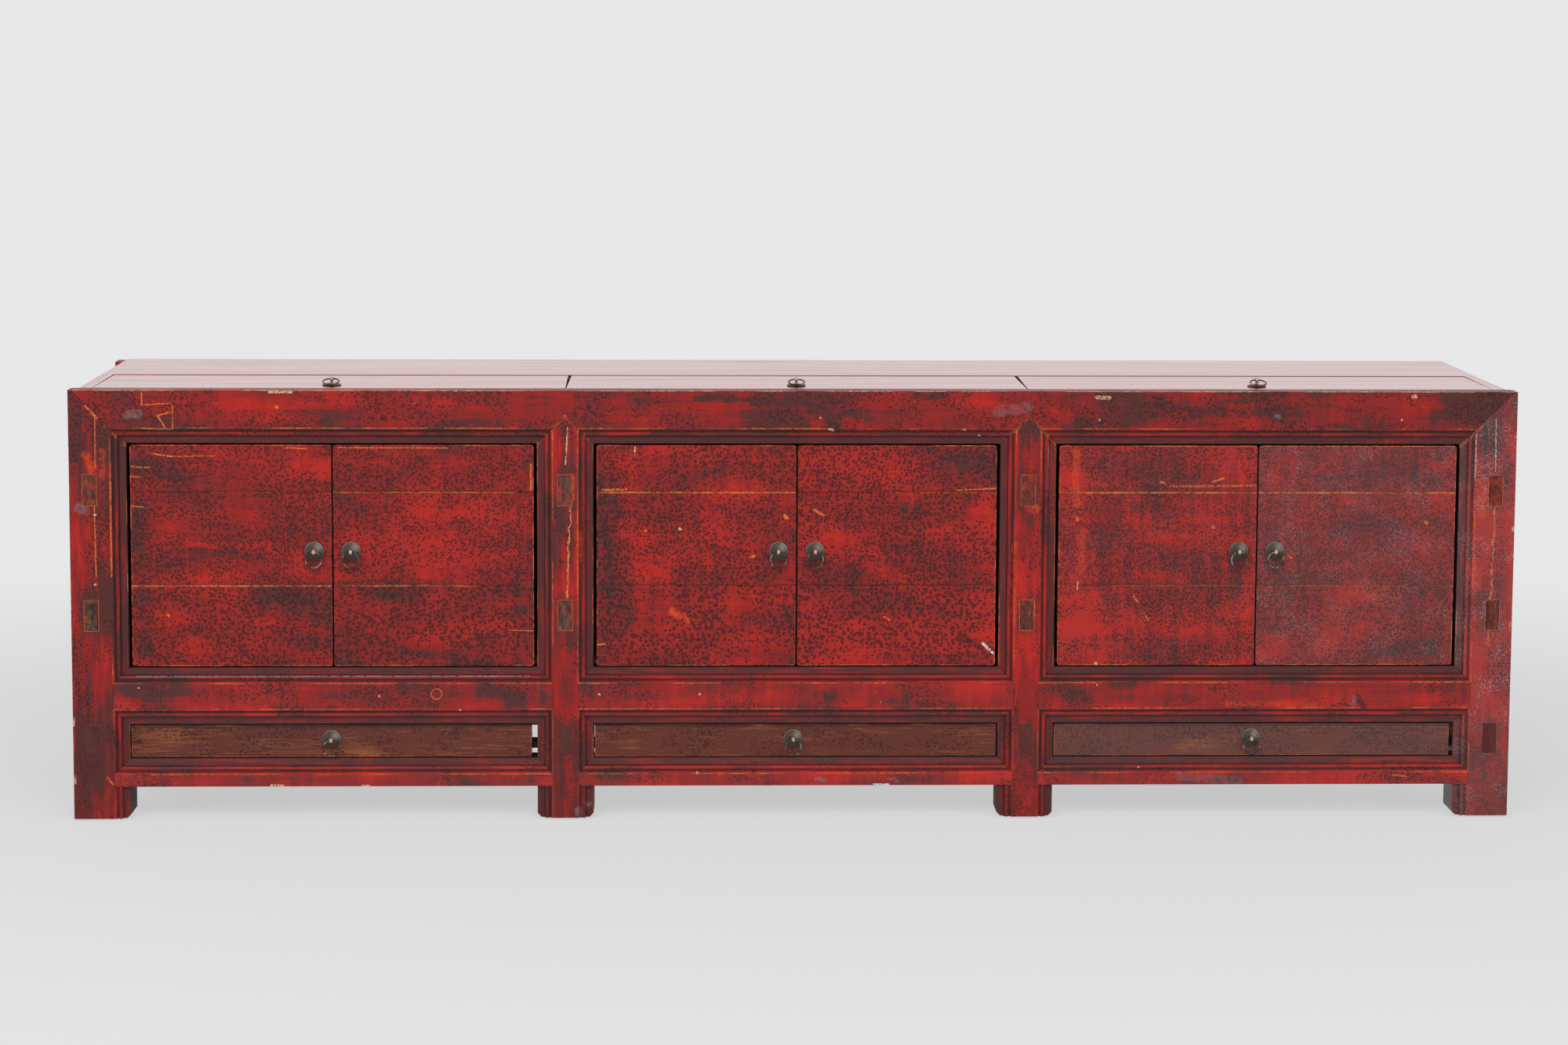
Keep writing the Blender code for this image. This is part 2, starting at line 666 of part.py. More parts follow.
def partition_frame(index, home, spare):
    """The cross rails and panel between two bays with their rear post, which hold up lids and floors."""
    centre = frame_centre(index)
    front = BEHIND_POSTS + GAP
    pieces = cross_rails("rail", index, REAR_POST + OVERRUN, REAR_POST + 2 * OVERRUN, spare, spare)
    low = (centre - PANEL / 2, front, LOW_CROSS + OVERRUN)
    high = (centre + PANEL / 2, REAR_POST + OVERRUN / 2, SEAT - GAP - OVERRUN)
    pieces.append(box("panel", low, high, spare))
    low = (centre - BEARER_WIDTH / 2, FRONT + TOP_RAIL_DEPTH + GAP, SEAT - GAP - BEARER_HEIGHT)
    pieces.append(box("bearer", low, (centre + BEARER_WIDTH / 2, REAR_POST + OVERRUN, SEAT - GAP), spare))
    for side in (-1, 1):
        panel_face = centre + side * PANEL / 2
        pieces += fittings(index, side, panel_face, centre + side * CROSS_THICK / 2, spare)
    low = (centre - CHEEK / 2, LID_REAR - TOP_THICK, SEAT - OVERRUN)
    pieces.append(box("cheek", low, (centre + CHEEK / 2, LID_REAR, HEIGHT - OVERRUN), spare))
    start = (centre - DOWEL_LENGTH, HINGE_Y, HINGE_Z)
    end = (centre + DOWEL_LENGTH, HINGE_Y, HINGE_Z)
    pieces.append(cylinder("dowel", DOWEL_RADIUS, start, end, EYE_SIDES, spare))
    x = centre - REAR_POST_WIDTH / 2
    name = "left_partition_frame" if index == 1 else "right_partition_frame"
    frame = rear_post(name, x, SEAT - GAP, home, spare)
    return combine(frame, "UNION", pieces)


def rear_top_board(home):
    """The fixed board of the top, behind the lids."""
    x = LEFT + END_RAIL_INSET
    return box("rear_top_board", (x, LID_REAR + LID_SWING, SEAT), (-x, REAR, HEIGHT), home)


def back_panel(home):
    """Boards nailed behind the rear posts, with a V groove where they meet. It stops above the drawers."""
    x = LEFT + END_RAIL_INSET
    section = [(BACK_FACE, BACK_UNDER)]
    z = BACK_UNDER
    outer = [(REAR, BACK_UNDER)]
    while z + BACK_BOARD < SEAT - BACK_BOARD / 2:
        z += BACK_BOARD
        outer += [(REAR, z - SEAM_WIDTH), (REAR - SEAM_DEPTH, z), (REAR, z + SEAM_WIDTH)]
    section += outer + [(REAR, SEAT - GAP), (BACK_FACE, SEAT - GAP)]
    return extruded("back_panel", section, x, -x, "X", home)


def cupboard_floor(index, home):
    """One bay's floor, on the middle rail's rebate and the cleats, cut round the posts."""
    left = bay_left(index)
    right = left + BAY
    narrow = (left + GAP, right - GAP)
    wide = []
    for frame, side in ((index, 1), (index + 1, -1)):
        face = frame_centre(frame) + side * PANEL / 2
        if frame in (0, 3):
            face = frame_centre(frame)
        wide.append(face + side * GAP)
    posts = []
    for frame, side in ((index, 1), (index + 1, -1)):
        if frame in (0, 3):
            edge = side * (LEFT + REAR_POST_WIDTH)
        else:
            edge = frame_centre(frame) + side * REAR_POST_WIDTH / 2
        posts.append(edge + side * GAP)
    start = FRONT + RAIL_DEPTH - FLOOR_LAP + GAP
    front = BEHIND_POSTS + GAP
    rear = REAR_POST - GAP
    outline = [(narrow[0], start), (narrow[1], start), (narrow[1], front), (wide[1], front), (wide[1], rear)]
    outline += [(posts[1], rear), (posts[1], BACK_FACE - GAP), (posts[0], BACK_FACE - GAP), (posts[0], rear)]
    outline += [(wide[0], rear), (wide[0], front), (narrow[0], front)]
    return extruded(f"{BAYS[index]}_cupboard_floor", outline, FLOOR_UNDER, FLOOR_TOP, "Z", home)


def drawer_runner_frame(home, spare):
    """A bearer nailed in front of the rear posts, and two runners to each drawer."""
    top = BOX_UNDER - GAP
    rear = REAR_POST - GAP
    x = LEFT + END_RAIL_INSET
    low = (x, rear - REAR_BEARER_DEPTH, top - RUNNER_HEIGHT - BEARER_HEIGHT / 2)
    frame = box("drawer_runner_frame", low, (-x, rear, top), home)
    runners = []
    for index in range(3):
        left = bay_left(index) + BOX_INSET
        right = bay_left(index) + BAY - BOX_INSET - RUNNER_WIDTH
        for x in (left, right):
            low = (x, FRONT + RAIL_DEPTH + GAP, top - RUNNER_HEIGHT)
            high = (x + RUNNER_WIDTH, rear - REAR_BEARER_DEPTH / 2, top)
            runners.append(box("runner", low, high, spare))
    return combine(frame, "UNION", runners)


def rounded(left, right, low, high, radius):
    """A rectangle with worn round corners, anticlockwise."""
    points = []
    for x, z, turn in ((right, low, -90), (right, high, 0), (left, high, 90), (left, low, 180)):
        middle_x = x - radius if x == right else x + radius
        middle_z = z - radius if z == high else z + radius
        for step in range(CORNER_STEPS + 1):
            angle = math.radians(turn + 90 * step / CORNER_STEPS)
            points.append((middle_x + radius * math.cos(angle), middle_z + radius * math.sin(angle)))
    return points


def door(index, side, home, spare):
    """Three boards on two battens, with a pin at the top and bottom of the outer edge."""
    name = f"{BAYS[index]}_bay_{'left' if side < 0 else 'right'}_door"
    edge = bay_left(index) if side < 0 else bay_left(index) + BAY
    outer = edge - side * DOOR_SIDE_GAP
    inner = bay_left(index) + BAY / 2 + side * DOOR_MEETING_GAP / 2
    left, right = sorted((outer, inner))
    low = DOOR_SILL + DOOR_BOTTOM_GAP
    high = DOOR_HEAD - DOOR_TOP_GAP
    face = FRONT + DOOR_RECESS
    back = face + DOOR_THICK
    obj = extruded(name, rounded(left, right, low, high, DOOR_CORNER), face, back, "Y", home)
    cutters = []
    for z in (high - UPPER_BOARD, high - UPPER_BOARD - MIDDLE_BOARD):
        proud = face - SEAM_DEPTH
        groove = [(face + SEAM_DEPTH, z), (proud, z + SEAM_WIDTH), (proud, z - SEAM_WIDTH)]
        cutters.append(extruded("seam", groove, left - OVERRUN, right + OVERRUN, "X", spare))
    combine(obj, "DIFFERENCE", cutters)
    battens = []
    for x in (left + BATTEN_INSET, right - BATTEN_INSET - BATTEN_WIDTH):
        start = (x, back - OVERRUN, low + BATTEN_INSET / 2)
        end = (x + BATTEN_WIDTH, back + BATTEN_DEPTH, high - BATTEN_INSET / 2)
        battens.append(box("batten", start, end, spare))
    x, y = door_axis(index, side)
    for start, end in ((low + OVERRUN, DOOR_SILL - PIN_LENGTH), (high - OVERRUN, DOOR_HEAD + PIN_LENGTH)):
        battens.append(cylinder("pin", PIN_RADIUS, (x, y, start), (x, y, end), PIN_SIDES, spare))
    return combine(obj, "UNION", battens)


def drawer(index, home, spare):
    """A front and a shallow box. The front's ends stop short of the posts by gaps of their own."""
    gap_left, gap_right = DRAWER_GAPS[index]
    left = bay_left(index)
    right = left + BAY
    face = FRONT + DRAWER_RECESS
    low = (left + gap_left, face, BOX_UNDER)
    top = DRAWER_HEAD - DRAWER_TOP_GAP
    obj = box(f"{BAYS[index]}_drawer", low, (right - gap_right, face + DRAWER_FRONT, top), home)
    low = Vector((left + BOX_INSET, face + OVERRUN, BOX_UNDER))
    high = Vector((right - BOX_INSET, face + BOX_DEPTH, top - BOX_DROP))
    combine(obj, "UNION", [box("tray", low, high, spare)])
    hollow_low = low + Vector((BOX_WALL, DRAWER_FRONT - OVERRUN, BOX_FLOOR))
    hollow_high = high + Vector((-BOX_WALL, -BOX_WALL, OVERRUN))
    return combine(obj, "DIFFERENCE", [box("hollow", hollow_low, hollow_high, spare)])


def lid(index, home, spare):
    """A board let into the top, its rear edge rounded about the dowels that it turns on."""
    start, end = lid_ends(index)
    front = FRONT + TOP_STRIP + LID_FRONT_GAP
    section = [(HINGE_Y, HEIGHT), (front, HEIGHT), (front, SEAT), (HINGE_Y, SEAT)]
    for step in range(1, EDGE_STEPS):
        angle = math.radians(-90 + 180 * step / EDGE_STEPS)
        section.append((HINGE_Y + TOP_THICK / 2 * math.cos(angle), HINGE_Z + TOP_THICK / 2 * math.sin(angle)))
    obj = extruded(f"{BAYS[index]}_lid", section, start, end, "X", home)
    plan = [(start + LID_END_FRONT, front - GAP), (end - LID_END_FRONT, front - GAP)]
    plan += [(end - LID_END_REAR, LID_REAR + GAP), (start + LID_END_REAR, LID_REAR + GAP)]
    combine(obj, "INTERSECT", [extruded("plan", plan, SEAT - OVERRUN, HEIGHT + OVERRUN, "Z", spare)])
    reach = DOWEL_LENGTH + RUNNING
    bores = []
    for x, side in ((start, 1), (end, -1)):
        a = (x - side * OVERRUN, HINGE_Y, HINGE_Z)
        b = (x + side * reach, HINGE_Y, HINGE_Z)
        bores.append(cylinder("bore", DOWEL_RADIUS + RUNNING, a, b, EYE_SIDES, spare))
    return combine(obj, "DIFFERENCE", bores)


def lid_ends(index):
    start = frame_centre(index) if index > 0 else LEFT + END_RAIL_INSET + END_RAIL
    end = frame_centre(index + 1) if index < 2 else -LEFT - END_RAIL_INSET - END_RAIL
    return start, end


def pull_plate(name, home, spare):
    """A domed round plate with a split pin's eye on it. It faces +Z, with the eye across X."""
    profile = [(0, PLATE_RISE), (PLATE_FLAT, PLATE_RISE), (PLATE_RADIUS, PLATE_EDGE)]
    profile += [(PLATE_RADIUS, 0), (0, 0)]
    mesh = bpy.data.meshes.new(name)
    mesh.from_pydata([(r, 0, z) for r, z in profile], [(i, i + 1) for i in range(len(profile) - 1)], [])
    plate = bpy.data.objects.new(name, mesh)
    home.objects.link(plate)
    turn = plate.modifiers.new("turn", "SCREW")
    turn.steps = turn.render_steps = PLATE_STEPS
    turn.use_merge_vertices = True
    turn.merge_threshold = GAP / 10
    graph = bpy.context.evaluated_depsgraph_get()
    plate.data = bpy.data.meshes.new_from_object(plate.evaluated_get(graph))
    plate.modifiers.clear()
    shape = bmesh.new()
    shape.from_mesh(plate.data)
    bmesh.ops.remove_doubles(shape, verts=shape.verts, dist=GAP / 10)
    bmesh.ops.recalc_face_normals(shape, faces=shape.faces)
    shape.to_mesh(plate.data)
    shape.free()
    half = EYE_WIDTH / 2
    low = (-half, -NECK / 2, PLATE_RISE / 2)
    neck = box("neck", low, (half, NECK / 2, EYE_HEIGHT - (EYE_RADIUS + EYE_BORE) / 2), spare)
    eye = cylinder("eye", EYE_RADIUS, (-half, 0, EYE_HEIGHT), (half, 0, EYE_HEIGHT), EYE_SIDES, spare)
    reach = half + OVERRUN
    bore = cylinder("bore", EYE_BORE, (-reach, 0, EYE_HEIGHT), (reach, 0, EYE_HEIGHT), EYE_SIDES, spare)
    combine(eye, "DIFFERENCE", [bore])
    return combine(plate, "UNION", [neck, eye])


def pull_ring(name, home, spare):
    """A ring that hangs from the eye, with the eye's centre at the origin and the ring below it along -Y."""
    shape = bmesh.new()
    rings = []
    for step in range(RING_STEPS):
        angle = 2 * math.pi * step / RING_STEPS
        out = Vector((math.cos(angle), math.sin(angle), 0))
        centre = out * RING_RADIUS - Vector((0, RING_RADIUS, 0))
        loop = []
        for side in range(RING_SIDES):
            turn = 2 * math.pi * (side + 0.5) / RING_SIDES
            around = out * math.cos(turn) + Vector((0, 0, math.sin(turn)))
            loop.append(shape.verts.new(centre + RING_WIRE * around))
        rings.append(loop)
    for here, after in zip(rings, rings[1:] + rings[:1]):
        for side in range(RING_SIDES):
            far = (side + 1) % RING_SIDES
            shape.faces.new((here[side], after[side], after[far], here[far]))
    return from_bmesh(name, shape, home)


def pull(stem, place, upright, tilt, parent, looks, home, spare):
    """A plate and its ring on a face that looks forward when upright, and else upward."""
    turn = Matrix.Rotation(math.pi / 2, 4, "X") if upright else Matrix.Identity(4)
    plate = pull_plate(f"{stem}_pull_plate", home, spare)
    plate.data.transform(turn)
    plate.data.transform(Matrix.Translation(place))
    finish(plate, looks["brass"], parent, place)
    ring = pull_ring(f"{stem}_pull_ring", home, spare)
    ring.data.transform(turn @ Matrix.Rotation(tilt, 4, "X"))
    eye = Vector(place) + turn.to_3x3() @ Vector((0, 0, EYE_HEIGHT + GAP))
    ring.data.transform(Matrix.Translation(eye))
    finish(ring, looks["iron"], parent, eye)


def build():
    clear_scene()
    home = collection("sideboard")
    spare = collection("cutters")
    looks = {
        "lacquer": material("red_lacquer", LACQUER),
        "dark": material("dark_lacquer", DARK_LACQUER),
        "brown": material("brown_lacquer", DRAWER_BROWN),
        "wood": material("bare_wood", BARE_WOOD),
        "brass": material("aged_brass", BRASS),
        "iron": material("dark_ring", IRON),
    }
    posts = ("front_left_post", "inner_left_post", "inner_right_post", "front_right_post")
    for index, name in enumerate(posts):
        finish(front_post(name, index, home, spare), looks["lacquer"])
    finish(front_top_rail(home, spare), looks["lacquer"])
    for side in (-1, 1):
        finish(rear_corner_post(side, home, spare), looks["dark"])
        finish(end_frame(side, home, spare), looks["dark"])
    for index in (1, 2):
        finish(partition_frame(index, home, spare), looks["wood"])
    finish(rear_top_board(home), looks["lacquer"])
    finish(back_panel(home), looks["wood"])
    finish(drawer_runner_frame(home, spare), looks["wood"])
    for index, bay in enumerate(BAYS):
        finish(middle_rail(index, home, spare), looks["lacquer"])
        rail = front_rail(f"{bay}_bottom_rail", index, LEG, DRAWER_SILL, False, home, spare)
        finish(rail, looks["lacquer"])
        finish(cupboard_floor(index, home), looks["wood"])
        middle = bay_left(index) + BAY / 2
        for side, word in ((-1, "left"), (1, "right")):
            x, y = door_axis(index, side)
            leaf = finish(door(index, side, home, spare), looks["lacquer"], None, (x, y, DOOR_SILL))
            z = DOOR_HEAD - DOOR_TOP_GAP - DOOR_PULL_DROP
            place = (middle + side * DOOR_PULL, FRONT + DOOR_RECESS - GAP, z)
            pull(f"{bay}_bay_{word}_door", place, True, 0, leaf, looks, home, spare)
        box_obj = finish(drawer(index, home, spare), looks["brown"], None, (middle, FRONT, DRAWER_SILL))
        z = DRAWER_HEAD - DRAWER_TOP_GAP - DRAWER_PULL_DROP
        place = (middle - DRAWER_PULL_SHIFT, FRONT + DRAWER_RECESS - GAP, z)
        pull(f"{bay}_drawer", place, True, 0, box_obj, looks, home, spare)
        start, end = lid_ends(index)
        top = finish(lid(index, home, spare), looks["lacquer"], None, ((start + end) / 2, HINGE_Y, HINGE_Z))
        place = ((start + end) / 2, FRONT + LID_PULL, HEIGHT + GAP)
        pull(f"{bay}_lid", place, False, LID_RING_TILT, top, looks, home, spare)


build()
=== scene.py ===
"""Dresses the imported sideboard: worn red lacquer, bare softwood, brass ring pulls, and the stage."""

import math

import bmesh
import bpy
from bpy.props import FloatProperty, FloatVectorProperty, IntProperty, PointerProperty
from mathutils import Matrix, Vector

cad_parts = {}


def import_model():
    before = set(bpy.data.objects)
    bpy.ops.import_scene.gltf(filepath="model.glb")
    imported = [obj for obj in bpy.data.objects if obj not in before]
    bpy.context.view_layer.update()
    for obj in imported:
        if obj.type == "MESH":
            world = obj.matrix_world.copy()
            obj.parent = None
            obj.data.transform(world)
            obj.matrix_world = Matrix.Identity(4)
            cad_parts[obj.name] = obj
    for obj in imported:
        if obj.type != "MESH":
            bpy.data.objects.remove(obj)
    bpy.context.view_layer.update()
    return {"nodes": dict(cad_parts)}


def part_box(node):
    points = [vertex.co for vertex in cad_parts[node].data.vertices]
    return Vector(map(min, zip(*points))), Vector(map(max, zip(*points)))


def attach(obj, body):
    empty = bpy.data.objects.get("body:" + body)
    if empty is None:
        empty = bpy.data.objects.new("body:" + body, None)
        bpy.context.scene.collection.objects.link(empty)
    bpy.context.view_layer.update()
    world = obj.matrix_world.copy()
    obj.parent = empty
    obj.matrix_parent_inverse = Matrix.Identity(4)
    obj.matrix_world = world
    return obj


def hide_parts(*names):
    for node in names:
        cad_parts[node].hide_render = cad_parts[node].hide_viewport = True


bl_info = {
    "name": "Lacquered Sideboard",
    "version": (1, 0, 0),
    "blender": (4, 5, 0),
    "location": "View3D > Sidebar > Sideboard",
    "description": "Finishes a long red lacquered sideboard and its ring pulls, and sets the stage",
    "category": "Object",
}

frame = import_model()

BAYS = ("left", "centre", "right")
SIDES = ("left", "right")
POSTS = ("front_left_post", "inner_left_post", "inner_right_post", "front_right_post")
STEMS = [f"{bay}_{part}" for bay in BAYS for part in ("bay_left_door", "bay_right_door", "drawer", "lid")]
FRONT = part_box("front_top_rail")[0].y
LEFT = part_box("front_left_post")[0].x
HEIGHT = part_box("front_top_rail")[1].z
POST_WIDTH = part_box("front_left_post")[1].x - LEFT
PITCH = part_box("inner_left_post")[0].x - LEFT
BAY = PITCH - POST_WIDTH
DOOR_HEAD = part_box("front_top_rail")[0].z
DOOR_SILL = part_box("left_middle_rail")[1].z
DRAWER_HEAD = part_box("left_middle_rail")[0].z
DRAWER_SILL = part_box("left_bottom_rail")[1].z
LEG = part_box("left_bottom_rail")[0].z
# Widths of the moulding's parts, from the opening outwards.
BAND, COVE, BEAD, QUIRK, SHOULDER = 0.0105, 0.0015, 0.0055, 0.0024, 0.0035
MOULDING = BAND + COVE + BEAD + QUIRK + SHOULDER
PART_BLUR = 0.0006
GLIDE, GLIDE_BLUR = 0.003, 0.0002
# Heights of the undersides of the cross rails, whose tenons come through the front posts.
CROSS_LEVELS = (0.100, 0.289, 0.478)
CROSS_HEIGHT = 0.045
CROSS_PITCH = CROSS_LEVELS[1] - CROSS_LEVELS[0]
TENON_WIDTH, TENON_INSET, TENON_SHOWS = 0.020, 0.030, 0.003
UPPER_BOARD, MIDDLE_BOARD = 0.071, 0.141
END_SKIN = 0.026
LEAF_FOOT, LEAF_HEAD = DOOR_SILL + 0.002, DOOR_HEAD - 0.0025
SEAMS = (LEAF_HEAD - UPPER_BOARD, LEAF_HEAD - UPPER_BOARD - MIDDLE_BOARD)
SEAM_DIRT = (0.020, 0.012, 0.008, 1)
# How far the finish reaches in from the front or the top, before bare wood begins.
DOOR_SKIN, DRAWER_SKIN, LID_SKIN, SKIN_BLUR = 0.012, 0.010, 0.011, 0.004
# The size and reach of the noise that moves a thin line, a loose mark and a broad patch about.
SWAY, WARP, DRIFT = (0.012, 0.0014), (0.014, 0.0150), (0.030, 0.0260)
FACES_FORWARD, FACES_ASIDE = -0.75, -0.45
# Half width and fade of the line where two pieces meet, and of the rubbed band along it.
JOINT_GAP, JOINT_RUB = (0.0002, 0.0009), (0.0006, 0.0022)
UPPER_TENONS, LEVEL_BLUR = CROSS_LEVELS[1] - 0.02, 0.01
# How far the arrises of each kind of piece are rounded.
ARRIS_BEVELS = {
    "front post": 0.0007, "top rail": 0.0009, "middle rail": 0.0006, "bottom rail": 0.0008, "door": 0.0009,
    "drawer": 0.0008, "lid": 0.0003, "end frame": 0.0004, "rear post": 0.0008, "board": 0.0005,
    "inner frame": 0.0006,
}
WELD_REACH, BEVEL_ANGLE, SHARP_ANGLE = 0.00002, math.radians(32), math.radians(38)
RAIL_SEED, DOOR_SEED, DRAWER_SEED, TOP_SEED, END_SEED, REAR_SEED = 10, 20, 30, 40, 50, 52
# The dome of a pull's plate, as radii and heights in tenths of a millimetre.
DOME = ((0, 33), (20, 33), (45, 31), (85, 25), (120, 18), (134, 15), (142, 14))
EYE_HEIGHT, EYE_BEND, EYE_START, EYE_SWEEP, EYE_STEPS = 0.0094, 0.0029, -62, 304, 24
PIN_ASIDE, PIN_END, PIN_HALF_WIDTH, PIN_HALF_THICK, PIN_BEVEL = 0.0009, 0.0020, 0.0022, 0.0006, 0.0004
RING_GAP, RING_STEPS, WIRE_SIDES = 0.0003, 72, 12
LID_TILT = math.radians(14)
LAMP_AIM = (0.0, 0.0, 0.3)
FLOOR_REACH, CLEAR_FLOOR, LOST_FLOOR = 30, 0.7, 2.4
WORLD_FILL, FLOOR_GLOW = 0.40, 0.68
ORIGIN, ALONG_X, FLAT, MIDDLE_GREY = (0, 0, 0), (1, 0, 0), (1, 0, 1), (0.5, 0.5, 0.5)
WHITE = (1, 1, 1, 1)


# Settings that a user may change


def colour(name, description, *shade):
    return FloatVectorProperty(
        name=name, description=description, default=(*shade, 1), size=4, min=0, max=1, subtype="COLOR",
    )


def length(name, description, default):
    return FloatProperty(name=name, description=description, default=default, min=0, unit="LENGTH")


def power(name, description, default):
    return FloatProperty(name=name, description=description, default=default, min=0, unit="POWER")


class LacquerSettings(bpy.types.PropertyGroup):
    """Colours and grain sizes of the lacquer."""

    bright: colour("Bright red", "Where the top coat is whole", 0.460, 0.016, 0.010)
    middle: colour("Middle red", "The commonest red", 0.265, 0.012, 0.011)
    # Also laid as painted shade on the lower faces of the lids and the fixed board.
    dark: colour("Dark red", "Where smoke and hands have darkened it", 0.080, 0.018, 0.017)
    # Also laid as painted shade on the doors' edges and as a painted shadow along the drawers' tops.
    spot: colour("Spots", "The dark spots that come through the red", 0.028, 0.008, 0.008)
    moulded: colour("Moulding band", "The dull purple of the moulding's flat band", 0.072, 0.017, 0.017)
    # Dark colour laid in the moulding's groove, and also the painted shade in its cove and along the
    # opening's edge.
    quirk_and_painted_shade: colour("Quirk", "Dirt in the moulding's groove", 0.022, 0.014, 0.013)
    worn: colour("Worn edge", "Orange undercoat where an edge is rubbed", 0.700, 0.150, 0.030)
    pale: colour("Chips", "Ground and bare wood in chips and cracks", 0.700, 0.420, 0.240)
    seam: colour("Open seams", "Rubbed edges along the seams between boards", 0.740, 0.240, 0.060)
    split: colour("Cracks", "Old wood showing in the cracks of the posts", 0.540, 0.210, 0.060)
    flame: colour("Rubbed lacquer", "Orange red where the top coat is rubbed thin", 0.620, 0.060, 0.012)
    # Also laid as painted highlights: glints on crazed lacquer and thin pale lines along some mouldings.
    chip_and_highlight: colour("Fresh chips", "Bluish white filler in the newest chips", 0.560, 0.600, 0.640)
    haze: colour("Haze", "Grey bloom and old filler", 0.190, 0.115, 0.120)
    patch: colour("Tenon ends", "Grey brown end grain", 0.075, 0.052, 0.036)
    drawer: colour("Drawer brown", "The brown of the drawer fronts", 0.114, 0.027, 0.018)
    ochre: colour("Drawer streaks", "Ochre streaks in the drawers' brown", 0.300, 0.090, 0.030)
    faded: colour("Faded top", "Pinkish red of the top, bleached by light", 0.740, 0.062, 0.047)
    spot_size: length("Spot size", "Distance from one dark spot to the next", 0.0043)
    gloss: FloatProperty(
        name="Roughness", description="Roughness of whole lacquer", default=0.30,
        min=0, max=1, subtype="FACTOR",
    )


class WoodSettings(bpy.types.PropertyGroup):
    """Colours of the unpainted wood."""

    light: colour("Light wood", "Early wood of the bare boards", 0.370, 0.215, 0.125)
    deep: colour("Deep wood", "Late wood and dirt in the bare boards", 0.165, 0.082, 0.045)
    glide: colour("Glides", "Pale pads under the feet", 0.560, 0.530, 0.480)


class PullSettings(bpy.types.PropertyGroup):
    """Sizes and colours of the pulls."""

    plate_radius: length("Plate radius", "Radius of the round plate", 0.0141)
    ring_radius: length("Ring radius", "Radius of the ring's centre line", 0.0119)
    wire: length("Ring wire", "Radius of the ring's wire", 0.00125)
    sides: IntProperty(name="Plate sides", description="Faces round the plate", default=56, min=12)
    bronze: colour("Bronze", "Dark skin of the old brass", 0.052, 0.037, 0.029)
    # On the plates this colour also makes the painted highlight.
    rubbed: colour("Rubbed brass", "Where hands have rubbed it", 0.440, 0.380, 0.330)
    pin: colour("Split pin", "The pin's lighter metal", 0.640, 0.450, 0.320)


class StageSettings(bpy.types.PropertyGroup):
    """The floor, the lamps and the camera."""

    wall: colour("Wall", "Colour of the room behind the piece", 0.800, 0.805, 0.810)
    floor: colour("Floor", "Colour of the floor", 0.700, 0.708, 0.705)
    camera_place: FloatVectorProperty(
        name="Camera place", description="Where the camera stands", default=(-0.158, -4.812, 1.193),
        subtype="TRANSLATION", unit="LENGTH",
    )
    camera_turn: FloatVectorProperty(
        name="Camera turn", description="Which way the camera looks",
        default=(math.radians(84.60), math.radians(-0.28), math.radians(-1.68)), subtype="EULER",
    )
    lens: FloatProperty(name="Lens", description="Focal length", default=71.5, min=1, unit="CAMERA")
    shift: FloatProperty(name="Shift", description="Upward shift of the frame", default=-0.13)
    key_power: power("Key lamp", "Power of the large lamp above", 118)
    fill_power: power("Side lamps", "Power of each side lamp", 28)


# Shader nodes


def settle(thing, **settings):
    """Sets a thing's attributes and returns it."""
    for name, value in settings.items():
        setattr(thing, name, value)
    return thing


def feed(socket, value):
    """Gives an input a fixed value, or links an output to it."""
    if isinstance(value, Value):
        value.tree.links.new(value.socket, socket)
    else:
        socket.default_value = value


def give(node, inputs):
    """Feeds a node's inputs, given by name or number, and returns the node."""
    for key, value in inputs.items():
        feed(node.inputs[key], value)
    return node


def put(tree, kind, inputs=None, **settings):
    """Adds a node, sets it up, and feeds its inputs."""
    return give(settle(tree.nodes.new(kind), **settings), inputs or {})


def result(tree, kind, inputs=None, output=0, **settings):
    """The output of a new node."""
    return Value(put(tree, kind, inputs, **settings).outputs[output])


def calc(operation, *values):
    """The result of a maths node, of vector maths if the first output given is a vector or a colour."""
    lead = next(value for value in values if isinstance(value, Value))
    kind = "ShaderNodeMath" if lead.socket.type == "VALUE" else "ShaderNodeVectorMath"
    output = "Value" if operation in ("DISTANCE", "DOT_PRODUCT", "LENGTH") else 0
    return result(lead.tree, kind, dict(enumerate(values)), output, operation=operation)


